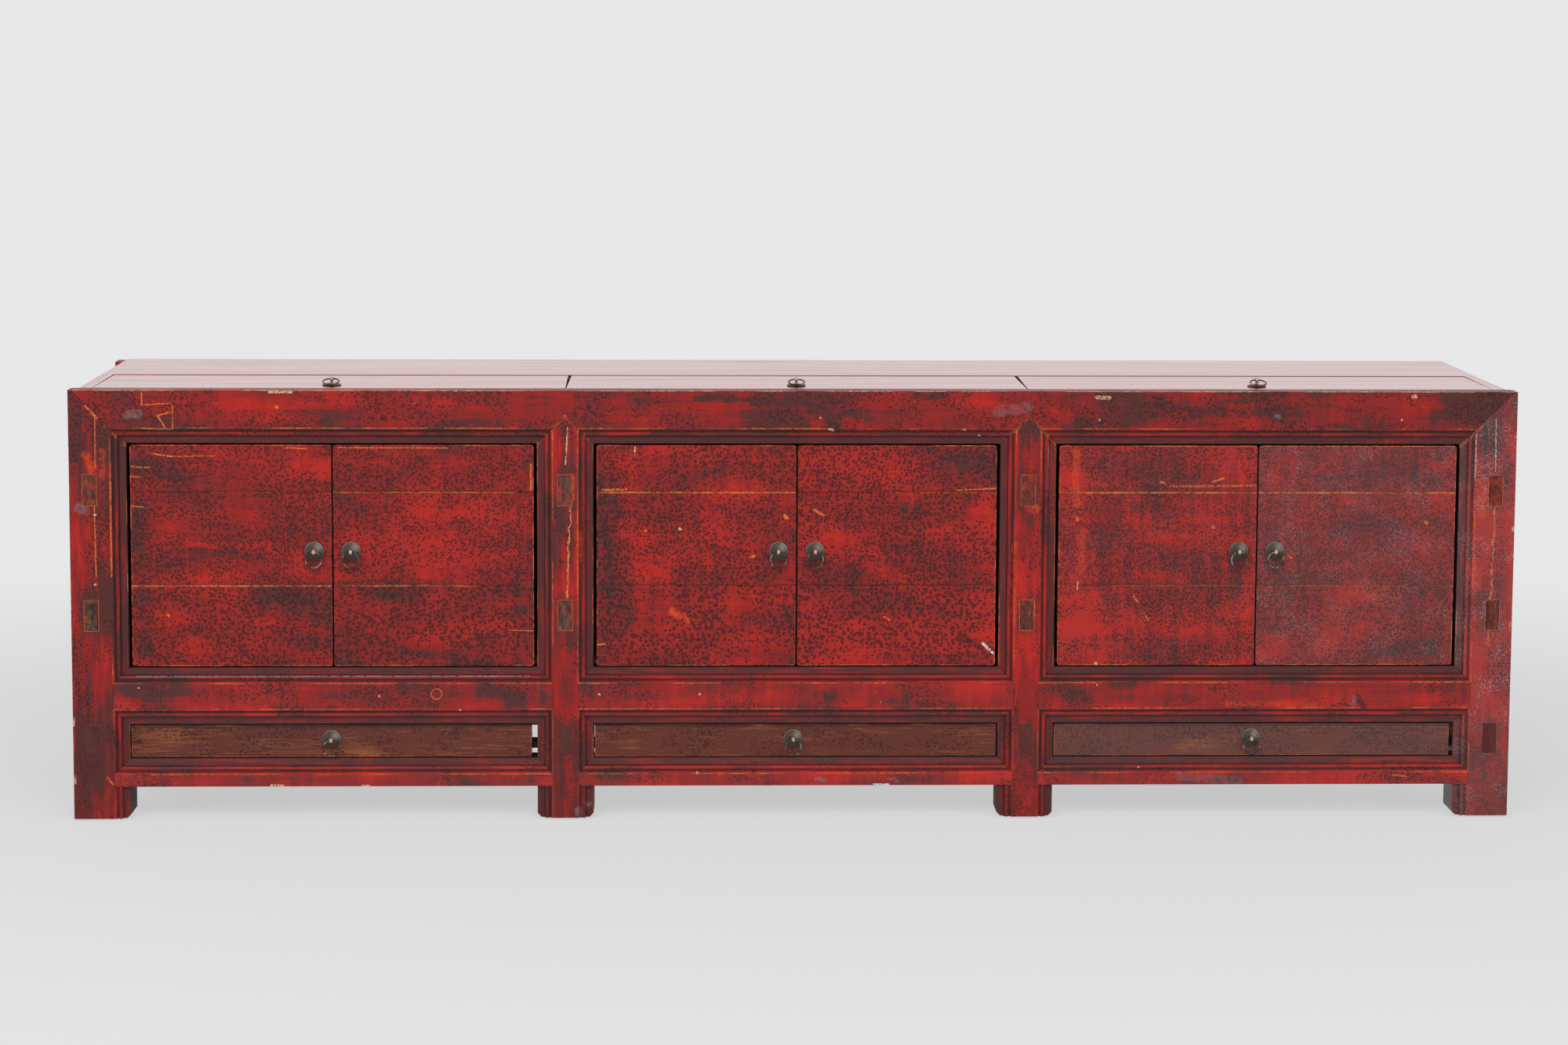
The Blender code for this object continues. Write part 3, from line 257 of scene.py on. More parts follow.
class Value:
    """An output of a shader node. A sum with it adds the nodes for that sum to its tree."""

    def __init__(self, socket):
        self.socket = socket
        self.tree = socket.id_data

    def __add__(self, other):
        return calc("ADD", self, other)

    def __sub__(self, other):
        return calc("SUBTRACT", self, other)

    def __rsub__(self, other):
        return calc("SUBTRACT", other, self)

    def __mul__(self, other):
        return calc("MULTIPLY", self, other)

    def __truediv__(self, other):
        return calc("DIVIDE", self, other)

    def __rtruediv__(self, other):
        return calc("DIVIDE", other, self)

    def __abs__(self):
        return calc("ABSOLUTE", self)

    def scaled(self, factor):
        """A vector made longer or shorter."""
        return result(self.tree, "ShaderNodeVectorMath", {0: self, 3: factor}, operation="SCALE")

    def clamped(self):
        """The same result of a sum, held between 0 and 1."""
        self.socket.node.use_clamp = True
        return self

    def split(self):
        """The three numbers of a vector or colour."""
        return [Value(socket) for socket in put(self.tree, "ShaderNodeSeparateXYZ", {0: self}).outputs]

    def step(self, start, end, low=0.0, high=1.0):
        """A smooth step from low at start to high at end."""
        inputs = dict(enumerate((self, start, end, low, high)))
        return result(self.tree, "ShaderNodeMapRange", inputs, interpolation_type="SMOOTHSTEP")

    def fall(self, start, end, high=1.0):
        """A smooth step from high at start to nothing at end."""
        return self.step(start, end, high, 0.0)

    def near(self, at, inner, outer, high=1.0):
        """High within the inner distance of a number, and nothing beyond the outer one."""
        return abs(self - at).fall(inner, outer, high)

    def tint(self, first, second):
        """The second colour laid over the first, by this much."""
        inputs = {0: self, 6: first, 7: second}
        return result(self.tree, "ShaderNodeMix", inputs, 2, data_type="RGBA", clamp_factor=True)

    def noise(self, size, detail=3.0, roughness=0.5, distortion=0.0, output=0):
        """Noise at this place whose features are about as large as size, one length or three."""
        sizes = size if isinstance(size, tuple) else (size, size, size)
        return result(self.tree, "ShaderNodeTexNoise", {
            "Vector": self * tuple(1 / across for across in sizes), "Scale": 1.0, "Detail": detail,
            "Roughness": roughness, "Distortion": distortion,
        }, output)

    def moved(self, size, reach, detail=3.0, roughness=0.65):
        """This place moved about by noise of a size, so that what is laid there wanders."""
        return self + (self.noise(size, detail, roughness, output="Color") - MIDDLE_GREY).scaled(reach)

    def cells(self, size, feature="F1", **inputs):
        """The outputs of a pattern of cells about as large as size."""
        inputs |= {"Vector": self, "Scale": 1 / size}
        return outputs_of(put(self.tree, "ShaderNodeTexVoronoi", inputs, feature=feature))


def outputs_of(node):
    """A node's outputs by name."""
    return {socket.name: Value(socket) for socket in node.outputs if socket.name}


def group(name, inputs, outputs):
    """A new shader group, as its inputs by name and the sockets of its outputs."""
    tree = bpy.data.node_groups.new(name, "ShaderNodeTree")
    for label, default in inputs.items():
        kind = "Float" if isinstance(default, float) else "Vector" if len(default) == 3 else "Color"
        socket = tree.interface.new_socket(name=label, in_out="INPUT", socket_type=f"NodeSocket{kind}")
        socket.default_value = default
    for label in outputs:
        kind = "Color" if label == "Color" else "Float"
        tree.interface.new_socket(name=label, in_out="OUTPUT", socket_type=f"NodeSocket{kind}")
    return outputs_of(tree.nodes.new("NodeGroupInput")), tree.nodes.new("NodeGroupOutput").inputs


def use(shared, **inputs):
    """Places a shared group where its place lies, and returns its outputs by name."""
    tree = inputs["Place"].tree
    node = put(tree, "ShaderNodeGroup", node_tree=bpy.data.node_groups[shared])
    return outputs_of(give(node, {key.replace("_", " "): value for key, value in inputs.items()}))


def material(name):
    """A new material, its Principled shader, and the place in the object's own coordinates."""
    made = settle(bpy.data.materials.new(name), use_nodes=True)
    place = result(made.node_tree, "ShaderNodeTexCoord", output="Object")
    return made, made.node_tree.nodes["Principled BSDF"], place


def raise_surface(shader, height, distance):
    """Raises a shader's surface by a height, of which one is as high as the distance."""
    bump = {"Strength": 1.0, "Distance": distance, "Height": height}
    give(shader, {"Normal": result(height.tree, "ShaderNodeBump", bump)})


def along_grain(place, grain):
    """The place turned so that the grain, which runs along the named axis, comes first."""
    if grain == "X":
        return place
    x, y, z = place.split()
    order = (z, x, y) if grain == "Z" else (y, x, z)
    return result(place.tree, "ShaderNodeCombineXYZ", dict(enumerate(order)))


def stroke_mask(place, start, end, width, fade):
    """A soft line on the front between two points given as x and z."""
    ends = {"Start": (start[0], 0, start[1]), "End": (end[0], 0, end[1])}
    return use("Stroke", Place=place, Width=width, Fade=fade, **ends)["Mask"]


# Shared effects


def build_moulding_lines():
    """Distance out from the nearest opening's edge, which the moulding follows, and where its parts lie."""
    parts = {
        "Band": (-0.02, BAND),
        "Bead": (BAND + COVE, BAND + COVE + BEAD),
        "Quirk": (BAND + COVE + BEAD, BAND + COVE + BEAD + QUIRK),
    }
    given, out = group("Moulding lines", {"Place": ORIGIN, "Foot": 0.0}, ("Distance", *parts, "Arris"))
    x, _, z = given["Place"].split()
    bay = calc("MAXIMUM", calc("MINIMUM", calc("ROUND", x / PITCH), 1.0), -1.0)
    aside = abs(x - bay * PITCH) - BAY / 2
    distance = calc("MINIMUM", *(
        calc("MAXIMUM", aside, abs(z - (low + high) / 2) - (high - low) / 2)
        for low, high in ((DOOR_SILL, DOOR_HEAD), (DRAWER_SILL, DRAWER_HEAD))
    ))
    footed = calc("MINIMUM", distance, calc("MAXIMUM", aside, z - LEG))
    distance = result(x.tree, "ShaderNodeMix", {0: given["Foot"], 2: distance, 3: footed})
    feed(out["Distance"], distance)
    for name, (low, high) in parts.items():
        rise = distance.step(low - PART_BLUR, low + PART_BLUR)
        feed(out[name], rise * distance.fall(high - PART_BLUR, high + PART_BLUR))
    feed(out["Arris"], distance.near(MOULDING, 0.0003, 0.0014))


def build_edge_distance():
    """How far a point on a box is from its nearest edge."""
    corners = {"Low": ORIGIN, "High": (1, 1, 1)}
    given, out = group("Distance from edges", {"Place": ORIGIN, **corners}, ("Distance",))
    lows = (given["Place"] - given["Low"]).split()
    highs = (given["High"] - given["Place"]).split()
    sides = [calc("MAXIMUM", calc("MINIMUM", low, high), 0.0) for low, high in zip(lows, highs)]
    less, more = calc("MINIMUM", *sides[:2]), calc("MAXIMUM", *sides[:2])
    feed(out["Distance"], calc("MAXIMUM", less, calc("MINIMUM", more, sides[2])))


def build_mortises():
    """Round the tenon ends on a front post: the line where the lacquer has parted, and what is near."""
    given, out = group("Mortises", {"Place": ORIGIN, "Centre": 0.0}, ("Line", "Near"))
    x, _, z = given["Place"].split()
    across = abs(x - given["Centre"]) - TENON_WIDTH / 2
    level = z - (CROSS_LEVELS[0] + CROSS_HEIGHT / 2)
    level = level - calc("ROUND", level / CROSS_PITCH) * CROSS_PITCH
    distance = calc("MAXIMUM", across, abs(level) - CROSS_HEIGHT / 2)
    feed(out["Line"], abs(distance).fall(0.0004, 0.0016))
    feed(out["Near"], distance.fall(0.0, 0.016))


def build_stroke():
    """A soft line from one point to another, for a scratch, a crack, a seam, a stain or a painted
    highlight.
    """
    ends = {"Start": ORIGIN, "End": ALONG_X}
    given, out = group("Stroke", {"Place": ORIGIN, **ends, "Width": 0.002, "Fade": 0.002}, ("Mask",))
    run = given["End"] - given["Start"]
    reach = given["Place"] - given["Start"]
    along = (calc("DOT_PRODUCT", reach, run) / calc("DOT_PRODUCT", run, run)).clamped()
    away = calc("DISTANCE", reach, run.scaled(along))
    feed(out["Mask"], away.fall(given["Width"], given["Width"] + given["Fade"]))


def build_mottle():
    """Dark spots that join into a net where they are thick, and leave the surface clear elsewhere."""
    given, out = group("Mottle", {"Place": ORIGIN, "Size": 0.005, "Amount": 0.5}, ("Mask", "Zone"))
    warped = given["Place"].moved(0.006, 0.003, 1.0, 0.5)
    cells = warped.cells(given["Size"], "SMOOTH_F1", Smoothness=0.12, Randomness=0.90)
    edge = 0.68 - given["Amount"] * 0.36
    zone = given["Place"].noise((0.075, 0.05, 0.045), 3.0, 0.55).step(edge - 0.16, edge + 0.16)
    rim = zone * 0.24 + 0.24
    feed(out["Mask"], cells["Distance"].fall(rim - 0.07, rim + 0.07) * zone.step(0.0, 0.35))
    feed(out["Zone"], zone)


def build_chips():
    """Small ragged flakes and pin holes, scattered thinly."""
    given, out = group("Chips", {"Place": ORIGIN, "Spacing": 0.03, "Amount": 0.3}, ("Mask",))
    cells = given["Place"].moved(0.004, 0.005, 3.0, 0.7).cells(given["Spacing"])
    red, green, _ = cells["Color"].split()
    size = (green * green + 0.15) * 0.06
    spot = cells["Distance"].fall(size * 0.7, size)
    feed(out["Mask"], spot * calc("LESS_THAN", red, given["Amount"]))


def build_aged_lacquer():
    """Lacquer over a dark ground: broad tones, streaks along the grain, spots, pepper and scratches."""
    colours = dict.fromkeys(("Bright", "Middle", "Dark", "Spot"), WHITE)
    amounts = {"Tone": 0.5, "Spots": 0.5, "Spot size": 0.005, "Crackle": 0.0}
    inputs = {"Place": ORIGIN, **colours, **amounts}
    given, out = group("Aged lacquer", inputs, ("Color", "Roughness", "Height"))
    place, dark, spot = given["Place"], given["Dark"], given["Spot"]
    broad = place.noise((0.16, 0.06, 0.055), 4.0, 0.6, 0.3)
    streak = place.noise((0.11, 0.004, 0.004), 3.0, 0.6)
    fine = place.noise((0.012, 0.0009, 0.0009), 2.0, 0.6)
    tone = broad * 1.9 + streak * 0.55 + fine * 0.22 - 1.335 + given["Tone"]
    shade = tone.step(0.12, 0.45).tint(dark, given["Middle"])
    shade = tone.step(0.42, 0.85).tint(shade, given["Bright"])
    mottle = use("Mottle", Place=place, Size=given["Spot size"], Amount=given["Spots"])
    shade = (mottle["Zone"] * 0.30).tint(shade, dark)
    shade = (mottle["Mask"] * 0.78).tint(shade, spot)
    pepper = place.noise(0.0016, 2.0, 0.7).step(0.56, 0.70)
    shade = (pepper * (mottle["Zone"] * 0.25 + 0.18)).tint(shade, spot)
    lines = place.noise((0.0011, 0.05, 0.05), 2.0, 0.6)
    shade = lines.step(0.56, 0.75, 0.0, 0.28).tint(shade, dark)
    crack = place.cells(0.0032, "DISTANCE_TO_EDGE")["Distance"].fall(0.02, 0.16) * given["Crackle"]
    feed(out["Color"], (crack * 0.55).tint(shade, spot))
    feed(out["Roughness"], mottle["Mask"] * 0.10 + streak * 0.16)
    feed(out["Height"], streak * 0.5 - mottle["Mask"] * 0.25 + fine * 0.35 - crack * 1.4)


def build_bare_wood():
    """Planed softwood: growth lines, fibres and dirt."""
    given, out = group("Bare wood", {"Place": ORIGIN, "Light": WHITE, "Deep": WHITE}, ("Color", "Height"))
    place = given["Place"]
    bend = place.noise((0.30, 0.03, 0.03), 2.0)
    rings = place.noise((0.35, 0.0045, 0.0045), 3.0, 0.6, 0.6)
    fibre = place.noise((0.02, 0.0007, 0.0007), 2.0)
    mixed = rings * 1.2 + fibre * 0.5 + bend * 0.4
    shade = mixed.step(0.80, 1.35).tint(given["Light"], given["Deep"])
    dirt = place.noise(0.09, 4.0, 0.65).step(0.50, 0.75, 0.0, 0.6)
    feed(out["Color"], dirt.tint(shade, given["Deep"]))
    feed(out["Height"], mixed)


def build_shared_effects():
    build_moulding_lines()
    build_edge_distance()
    build_mortises()
    build_stroke()
    build_mottle()
    build_chips()
    build_aged_lacquer()
    build_bare_wood()


# Materials


class Coat:
    """A lacquered surface being built up, layer on layer."""

    def __init__(
        self, piece, number, grain, tone, spots, crackle=0.0, upright=0.0, fineness=1.0, brown=False
    ):
        """Crackle and upright are the strength of cracks and of upright rubs; fineness scales the spots."""
        look = self.look = bpy.context.scene.sideboard_lacquer
        self.made, self.shader, self.place = material(f"lacquer_{piece}")
        self.swayed = self.place.moved(*SWAY) * FLAT
        self.warped = self.place.moved(*WARP) * FLAT
        self.ragged = self.place.noise(0.007, 4.0, 0.7)
        self.torn = self.place.noise(0.0034, 3.0, 0.6)
        normal = result(self.place.tree, "ShaderNodeTexCoord", output="Normal")
        self.forward = normal.split()[1].fall(FACES_FORWARD, FACES_ASIDE)
        drifted = self.place.moved(*DRIFT) * FLAT
        for kind, start, end, width, strength in marks_on(piece):
            if kind in TONE_SHIFTS:
                mask = stroke_mask(drifted, start, end, width * 0.4, width * 2.2)
                tone = mask * (TONE_SHIFTS[kind] * strength) + tone
                spots = mask * (-0.5 * TONE_SHIFTS[kind] * strength) + spots
        size = look.spot_size * fineness
        if piece.endswith("door"):
            # The spots are a fifth larger on the lowest board.
            size = calc("LESS_THAN", self.place.split()[2], SEAMS[1]) * (0.2 * size) + size
        shifted = self.place + seed(number)
        if upright:
            tone = (shifted.noise((0.011, 0.011, 0.085), 4.0, 0.6) - 0.5) * upright + tone
        self.grained = along_grain(shifted, grain)
        self.runs = self.grained.noise((0.10, 0.012, 0.012), 3.0, 0.55)
        bright, middle, dark = look.bright, look.middle, look.dark
        if brown:
            bright, middle, dark = look.ochre, look.drawer, look.drawer
        coat = use(
            "Aged lacquer", Place=self.grained, Bright=bright, Middle=middle, Dark=dark, Spot=look.spot,
            Tone=tone, Spots=spots, Spot_size=size, Crackle=crackle,
        )
        self.colour = coat["Color"]
        self.rough = coat["Roughness"] + look.gloss
        self.height = coat["Height"]

    def lay(self, mask, shade, strength=1.0, rougher=0.0):
        """Lays a colour over the surface where the mask is high."""
        mask = mask * strength
        self.colour = mask.tint(self.colour, shade)
        if rougher:
            self.rough = self.rough + mask * rougher

    def broken(self, mask, run):
        """A mask broken up by ragged noise, and left only in some stretches along the grain."""
        return mask * self.ragged.step(0.42, 0.58, 0.25, 1.0) * self.runs.step(run - 0.08, run + 0.08)

    def stroke(self, start, end, width, fade, shade, strength=1.0, loose=True):
        """A mark between two points given as x and z on the front; a loose one wanders more."""
        torn = self.ragged.step(0.36, 0.56, 0.15, 1.0) if loose else self.torn.step(0.40, 0.50, 0.1, 1.0)
        mask = stroke_mask(self.warped if loose else self.swayed, start, end, width, fade)
        self.lay(mask * torn * self.forward, shade, strength)

    def edges(self, low, high, width=0.0010, strength=0.9):
        """Wear along the edges of a box shaped piece."""
        rim = use("Distance from edges", Place=self.place, Low=low, High=high)["Distance"]
        self.lay(self.broken(rim.fall(width * 0.5, width * 1.8), 0.50), self.look.worn, strength, 0.1)

    def flecks(self, spacing, amount):
        """Small chips down to the pale ground."""
        chips = use("Chips", Place=self.place, Spacing=spacing, Amount=amount)["Mask"]
        self.lay(chips, self.look.pale, 0.9, 0.2)

    def bare(self, mask):
        """Bare wood where the mask is high, on the faces that were never lacquered."""
        look = bpy.context.scene.sideboard_wood
        wood = use("Bare wood", Place=self.place, Light=look.light, Deep=look.deep)
        self.lay(mask, wood["Color"], rougher=0.3)

    def marks(self, piece):
        """The scratches, stains, chips and rubbed places that this piece has gathered, and the painted
        highlight lines among its marks.
        """
        for kind, start, end, width, strength in marks_on(piece):
            if kind == "plug":
                self.plug(start, width, strength)
            elif kind in FADES:
                loose = kind in ("flame", "haze", "split")
                self.stroke(start, end, width, FADES[kind], getattr(self.look, kind), strength, loose)

    def plug(self, centre, radius, strength):
        """The worn ring round a wooden plug let into the front."""
        away = calc("DISTANCE", self.swayed, (centre[0], 0, centre[1]))
        self.lay(away.near(radius, 0.0003, 0.0012) * self.torn.step(0.36, 0.48), self.look.worn, strength)

    def joint(self, start, end):
        """The dark line where two pieces meet, with orange where its edges are rubbed."""
        rub = stroke_mask(self.swayed, start, end, *JOINT_RUB)
        self.lay(self.broken(rub, 0.48), self.look.worn, 0.7)
        self.lay(stroke_mask(self.swayed, start, end, *JOINT_GAP), self.look.spot, 0.75)

    def line(self, axis, at, width, shade, strength, run):
        """A long broken line across the piece at one place on an axis, such as a seam between boards."""
        mask = self.broken(self.swayed.split()[axis].near(at, width * 0.5, width * 1.6), run)
        self.lay(mask * self.forward, shade, strength)

    def painted_glints(self, strength):
        """Painted glints: bluish white points of light on a crazed and glossy skin."""
        points = self.place.noise(0.0017, 1.0).step(0.58, 0.68)
        self.lay(points * self.place.noise(0.04).step(0.45, 0.62), self.look.chip_and_highlight, strength)

    def glides(self):
        """The pale pad under the foot."""
        pad = self.place.split()[2].fall(GLIDE - GLIDE_BLUR, GLIDE + GLIDE_BLUR)
        self.lay(pad, bpy.context.scene.sideboard_wood.glide, rougher=0.2)

    def mould(self, foot):
        """Colours the moulding by its parts, with painted shade in its cove and along the opening's edge.
        """
        parts = use("Moulding lines", Place=self.place, Foot=foot)
        look, bead, distance = self.look, parts["Bead"], parts["Distance"]
        streaks = self.grained.noise((0.07, 0.006, 0.006), 3.0, 0.6)
        self.lay(parts["Band"] * streaks.step(0.32, 0.56, 0.35, 0.95), look.moulded)
        self.lay(bead * streaks.fall(0.40, 0.56, 0.55), look.moulded)
        self.lay(bead * streaks.step(0.54, 0.66, 0.0, 0.5), look.bright)
        self.lay(parts["Quirk"], look.quirk_and_painted_shade, 0.96, 0.2)
        # Painted shade: a dark line in the cove between the band and the bead.
        self.lay(distance.near(BAND + COVE / 2, 0.0006, 0.0016), look.quirk_and_painted_shade, 0.60)
        # Painted shade: a dark line along the opening's edge, standing in for the shadow of the gap.
        self.lay(distance.fall(0.0004, 0.0013), look.quirk_and_painted_shade, 0.9, 0.3)
        self.lay(self.broken(parts["Arris"], 0.50), look.worn, 0.75, 0.1)

    def bleach(self, mask):
        """The faded and dusty gloss of the upper faces, where the mask is high."""
        faded = self.grained.noise((0.30, 0.011, 0.011), 4.0, 0.7).step(0.34, 0.62, 0.35, 1.0)
        self.lay(mask * faded, self.look.faded, 0.85)
        self.rough = mask * -0.20 + self.rough
        shine = self.grained.noise((0.45, 0.007, 0.007), 4.0, 0.65).step(0.34, 0.62, 0.95, 0.45)
        give(self.shader, {"Coat Weight": mask * shine, "Coat Roughness": 0.10})

    def finish(self, depth=0.00035, sheen=0.28, varnish=0.0):
        """Joins what has been laid to the shader; sheen is how much a plain face mirrors."""
        if varnish:
            give(self.shader, {"Coat Weight": varnish, "Coat Roughness": 0.22})
        surface = {"Base Color": self.colour, "Roughness": self.rough.clamped()}
        give(self.shader, {**surface, "IOR": 1.5, "Specular IOR Level": sheen})
        raise_surface(self.shader, self.height, depth)
        return self.made


def modify(obj, name, kind, **settings):
    """Adds a modifier."""
    settle(obj.modifiers.new(name, kind), **settings)


def clothe(node, made, width):
    """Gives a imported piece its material, and rounds its arrises without touching its own mesh."""
    obj = frame["nodes"][node]
    obj.data.materials.clear()
    obj.data.materials.append(made)
    obj.data.shade_smooth()
    modify(obj, "join corners", "WELD", merge_threshold=WELD_REACH)
    modify(
        obj, "round edges", "BEVEL", width=width, segments=2, limit_method="ANGLE",
        angle_limit=BEVEL_ANGLE, harden_normals=True, use_clamp_overlap=True,
    )
    modify(obj, "keep faces flat", "WEIGHTED_NORMAL", weight=100)


def seed(number):
    """An offset that gives each piece its own stretch of pattern."""
    return (number * 1.37 + 0.31, number * 0.73 + 0.17, number * 2.11 + 0.57)


def mitres():
    """The slanting joints of each front post with the top rail, as pairs of points."""
    hidden = 0.4 * POST_WIDTH
    outer = ((LEFT + hidden, HEIGHT - hidden), (LEFT + POST_WIDTH, HEIGHT - POST_WIDTH))
    found = [[outer]]
    for index in (1, 2):
        low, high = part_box(POSTS[index])
        middle, tip = (low.x + high.x) / 2, high.z
        found.append([((middle, tip), (x, tip - abs(x - middle))) for x in (low.x, high.x)])
    return found + [[tuple((-x, z) for x, z in outer)]]


def tenon_centre(index):
    """Where the cross rails' tenons come through a front post."""
    low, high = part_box(POSTS[index])
    return {0: LEFT + TENON_INSET, 3: -LEFT - TENON_INSET}.get(index, (low.x + high.x) / 2)


def front_post_coat(index):
    """A front post; the one at the right is glossier and crazed."""
    name = POSTS[index]
    glossy = name == "front_right_post"
    tone, crackle = (0.74, 0.7) if glossy else (0.48, 0.0)
    coat = Coat(name, index, "Z", tone, spots=0.36, crackle=crackle, upright=1.5)
    look = coat.look
    low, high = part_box(name)
    coat.mould(1.0)
    centre = tenon_centre(index)
    mortises = use("Mortises", Place=coat.swayed, Centre=centre)
    coat.lay(mortises["Near"] * coat.ragged.step(0.36, 0.56), look.dark, 0.80)
    upper = coat.place.split()[2].step(UPPER_TENONS, UPPER_TENONS + LEVEL_BLUR, 0.25, 1.0)
    coat.lay(mortises["Line"] * coat.ragged.step(0.28, 0.46) * upper, look.worn, 0.8)
    for x in (low.x, high.x):
        coat.line(0, x, width=0.0012, shade=look.worn, strength=0.6, run=0.52)
    coat.stroke((centre, 0.0), (centre, 0.060), width=0.034, fade=0.03, shade=look.dark, strength=0.62)
    for start, end in mitres()[index]:
        coat.joint(start, end)
    coat.marks(name)
    coat.flecks(spacing=0.035, amount=0.25)
    if glossy:
        coat.painted_glints(0.38)
    coat.glides()
    return coat.finish(depth=0.0006, sheen=0.5, varnish=0.5) if glossy else coat.finish()


def rail_coat(name, number, tone, spots, upright=0.8):
    """A moulded rail of the front, with its joints to the posts."""
    coat = Coat(name, number, "X", tone, spots, upright=upright)
    coat.mould(0.0)
    low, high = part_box(name)
    if not name.endswith("top_rail"):
        for x in (low.x, high.x):
            coat.joint((x, low.z - MOULDING), (x, high.z + MOULDING))
    coat.marks(name)
    coat.flecks(spacing=0.030, amount=0.3)
    return coat


def door_coat(name, index):
    """A plank door: seams between its boards, a dark patch under its pull, painted shade where the doors
    meet and on its sides, and bare wood behind.
    """
    tone, fineness, upright, crackle, seam_strengths = DOOR_LOOKS[index]
    coat = Coat(name, DOOR_SEED + index, "X", tone, 0.80, crackle, upright, fineness)
    look = coat.look
    low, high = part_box(name)
    near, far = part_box(f"{name}_pull_plate")
    coat.edges((low.x, low.y, LEAF_FOOT), (high.x, high.y, LEAF_HEAD))
    for seam, strength in zip(SEAMS, seam_strengths):
        width, run = (0.0011, 0.43) if strength > 0.85 else (0.0009, 0.48)
        coat.line(2, seam + 0.0016, width=0.0012, shade=look.spot, strength=0.75, run=0.40)
        coat.line(2, seam, width, look.seam, strength, run)
    x, z = (near.x + far.x) / 2, (near.z + far.z) / 2
    coat.stroke((x, z - 0.006), (x, z - 0.019), width=0.009, fade=0.010, shade=look.spot, strength=0.62)
    coat.marks(name)
    coat.flecks(spacing=0.030, amount=0.4)
    if crackle:
        coat.painted_glints(0.22 * crackle)
    x, y, _ = coat.place.split()
    # Painted shade: the spot colour along the edge where the doors meet, and on the door's sides behind its
    # front face.
    painted_meeting_shade = x.near(high.x if index % 2 == 0 else low.x, 0.0007, 0.0013)
    coat.lay(calc("MAXIMUM", painted_meeting_shade, y.step(low.y + 0.0009, low.y + 0.0018)), look.spot, 0.92, 0.3)
    coat.bare(y.step(low.y + DOOR_SKIN, low.y + DOOR_SKIN + SKIN_BLUR))
    return coat.finish(sheen=0.28 + 0.2 * crackle, varnish=0.4 * crackle)


# Tone, fineness, upright rubs, crackle, and the strength of the upper and lower seam, for each door.
DOOR_LOOKS = (
    (0.52, 1.0, 0.7, 0.0, (0.25, 0.9)), (0.54, 1.0, 0.7, 0.0, (0.7, 0.9)),
    (0.56, 1.15, 0.9, 0.0, (0.9, 0.15)), (0.61, 1.15, 0.9, 0.0, (0.35, 0.15)),
    (0.60, 0.82, 1.6, 0.2, (0.9, 0.5)), (0.68, 0.82, 1.3, 0.9, (0.9, 0.55)),
)
# Tone, sheen and share of ochre, for each drawer.
DRAWER_LOOKS = ((0.28, 0.28, 0.50), (0.28, 0.28, 0.58), (0.27, 0.60, 0.18))
# How far a mark's edge fades, or how far it shifts the tone of the lacquer, by its kind.
FADES = {
    "worn": 0.0008, "pale": 0.0008, "split": 0.0008, "spot": 0.0020, "chip_and_highlight": 0.0006, "haze": 0.0040,
    "flame": 0.0050,
}
TONE_SHIFTS = {"bright": 0.34, "dark": -0.46}
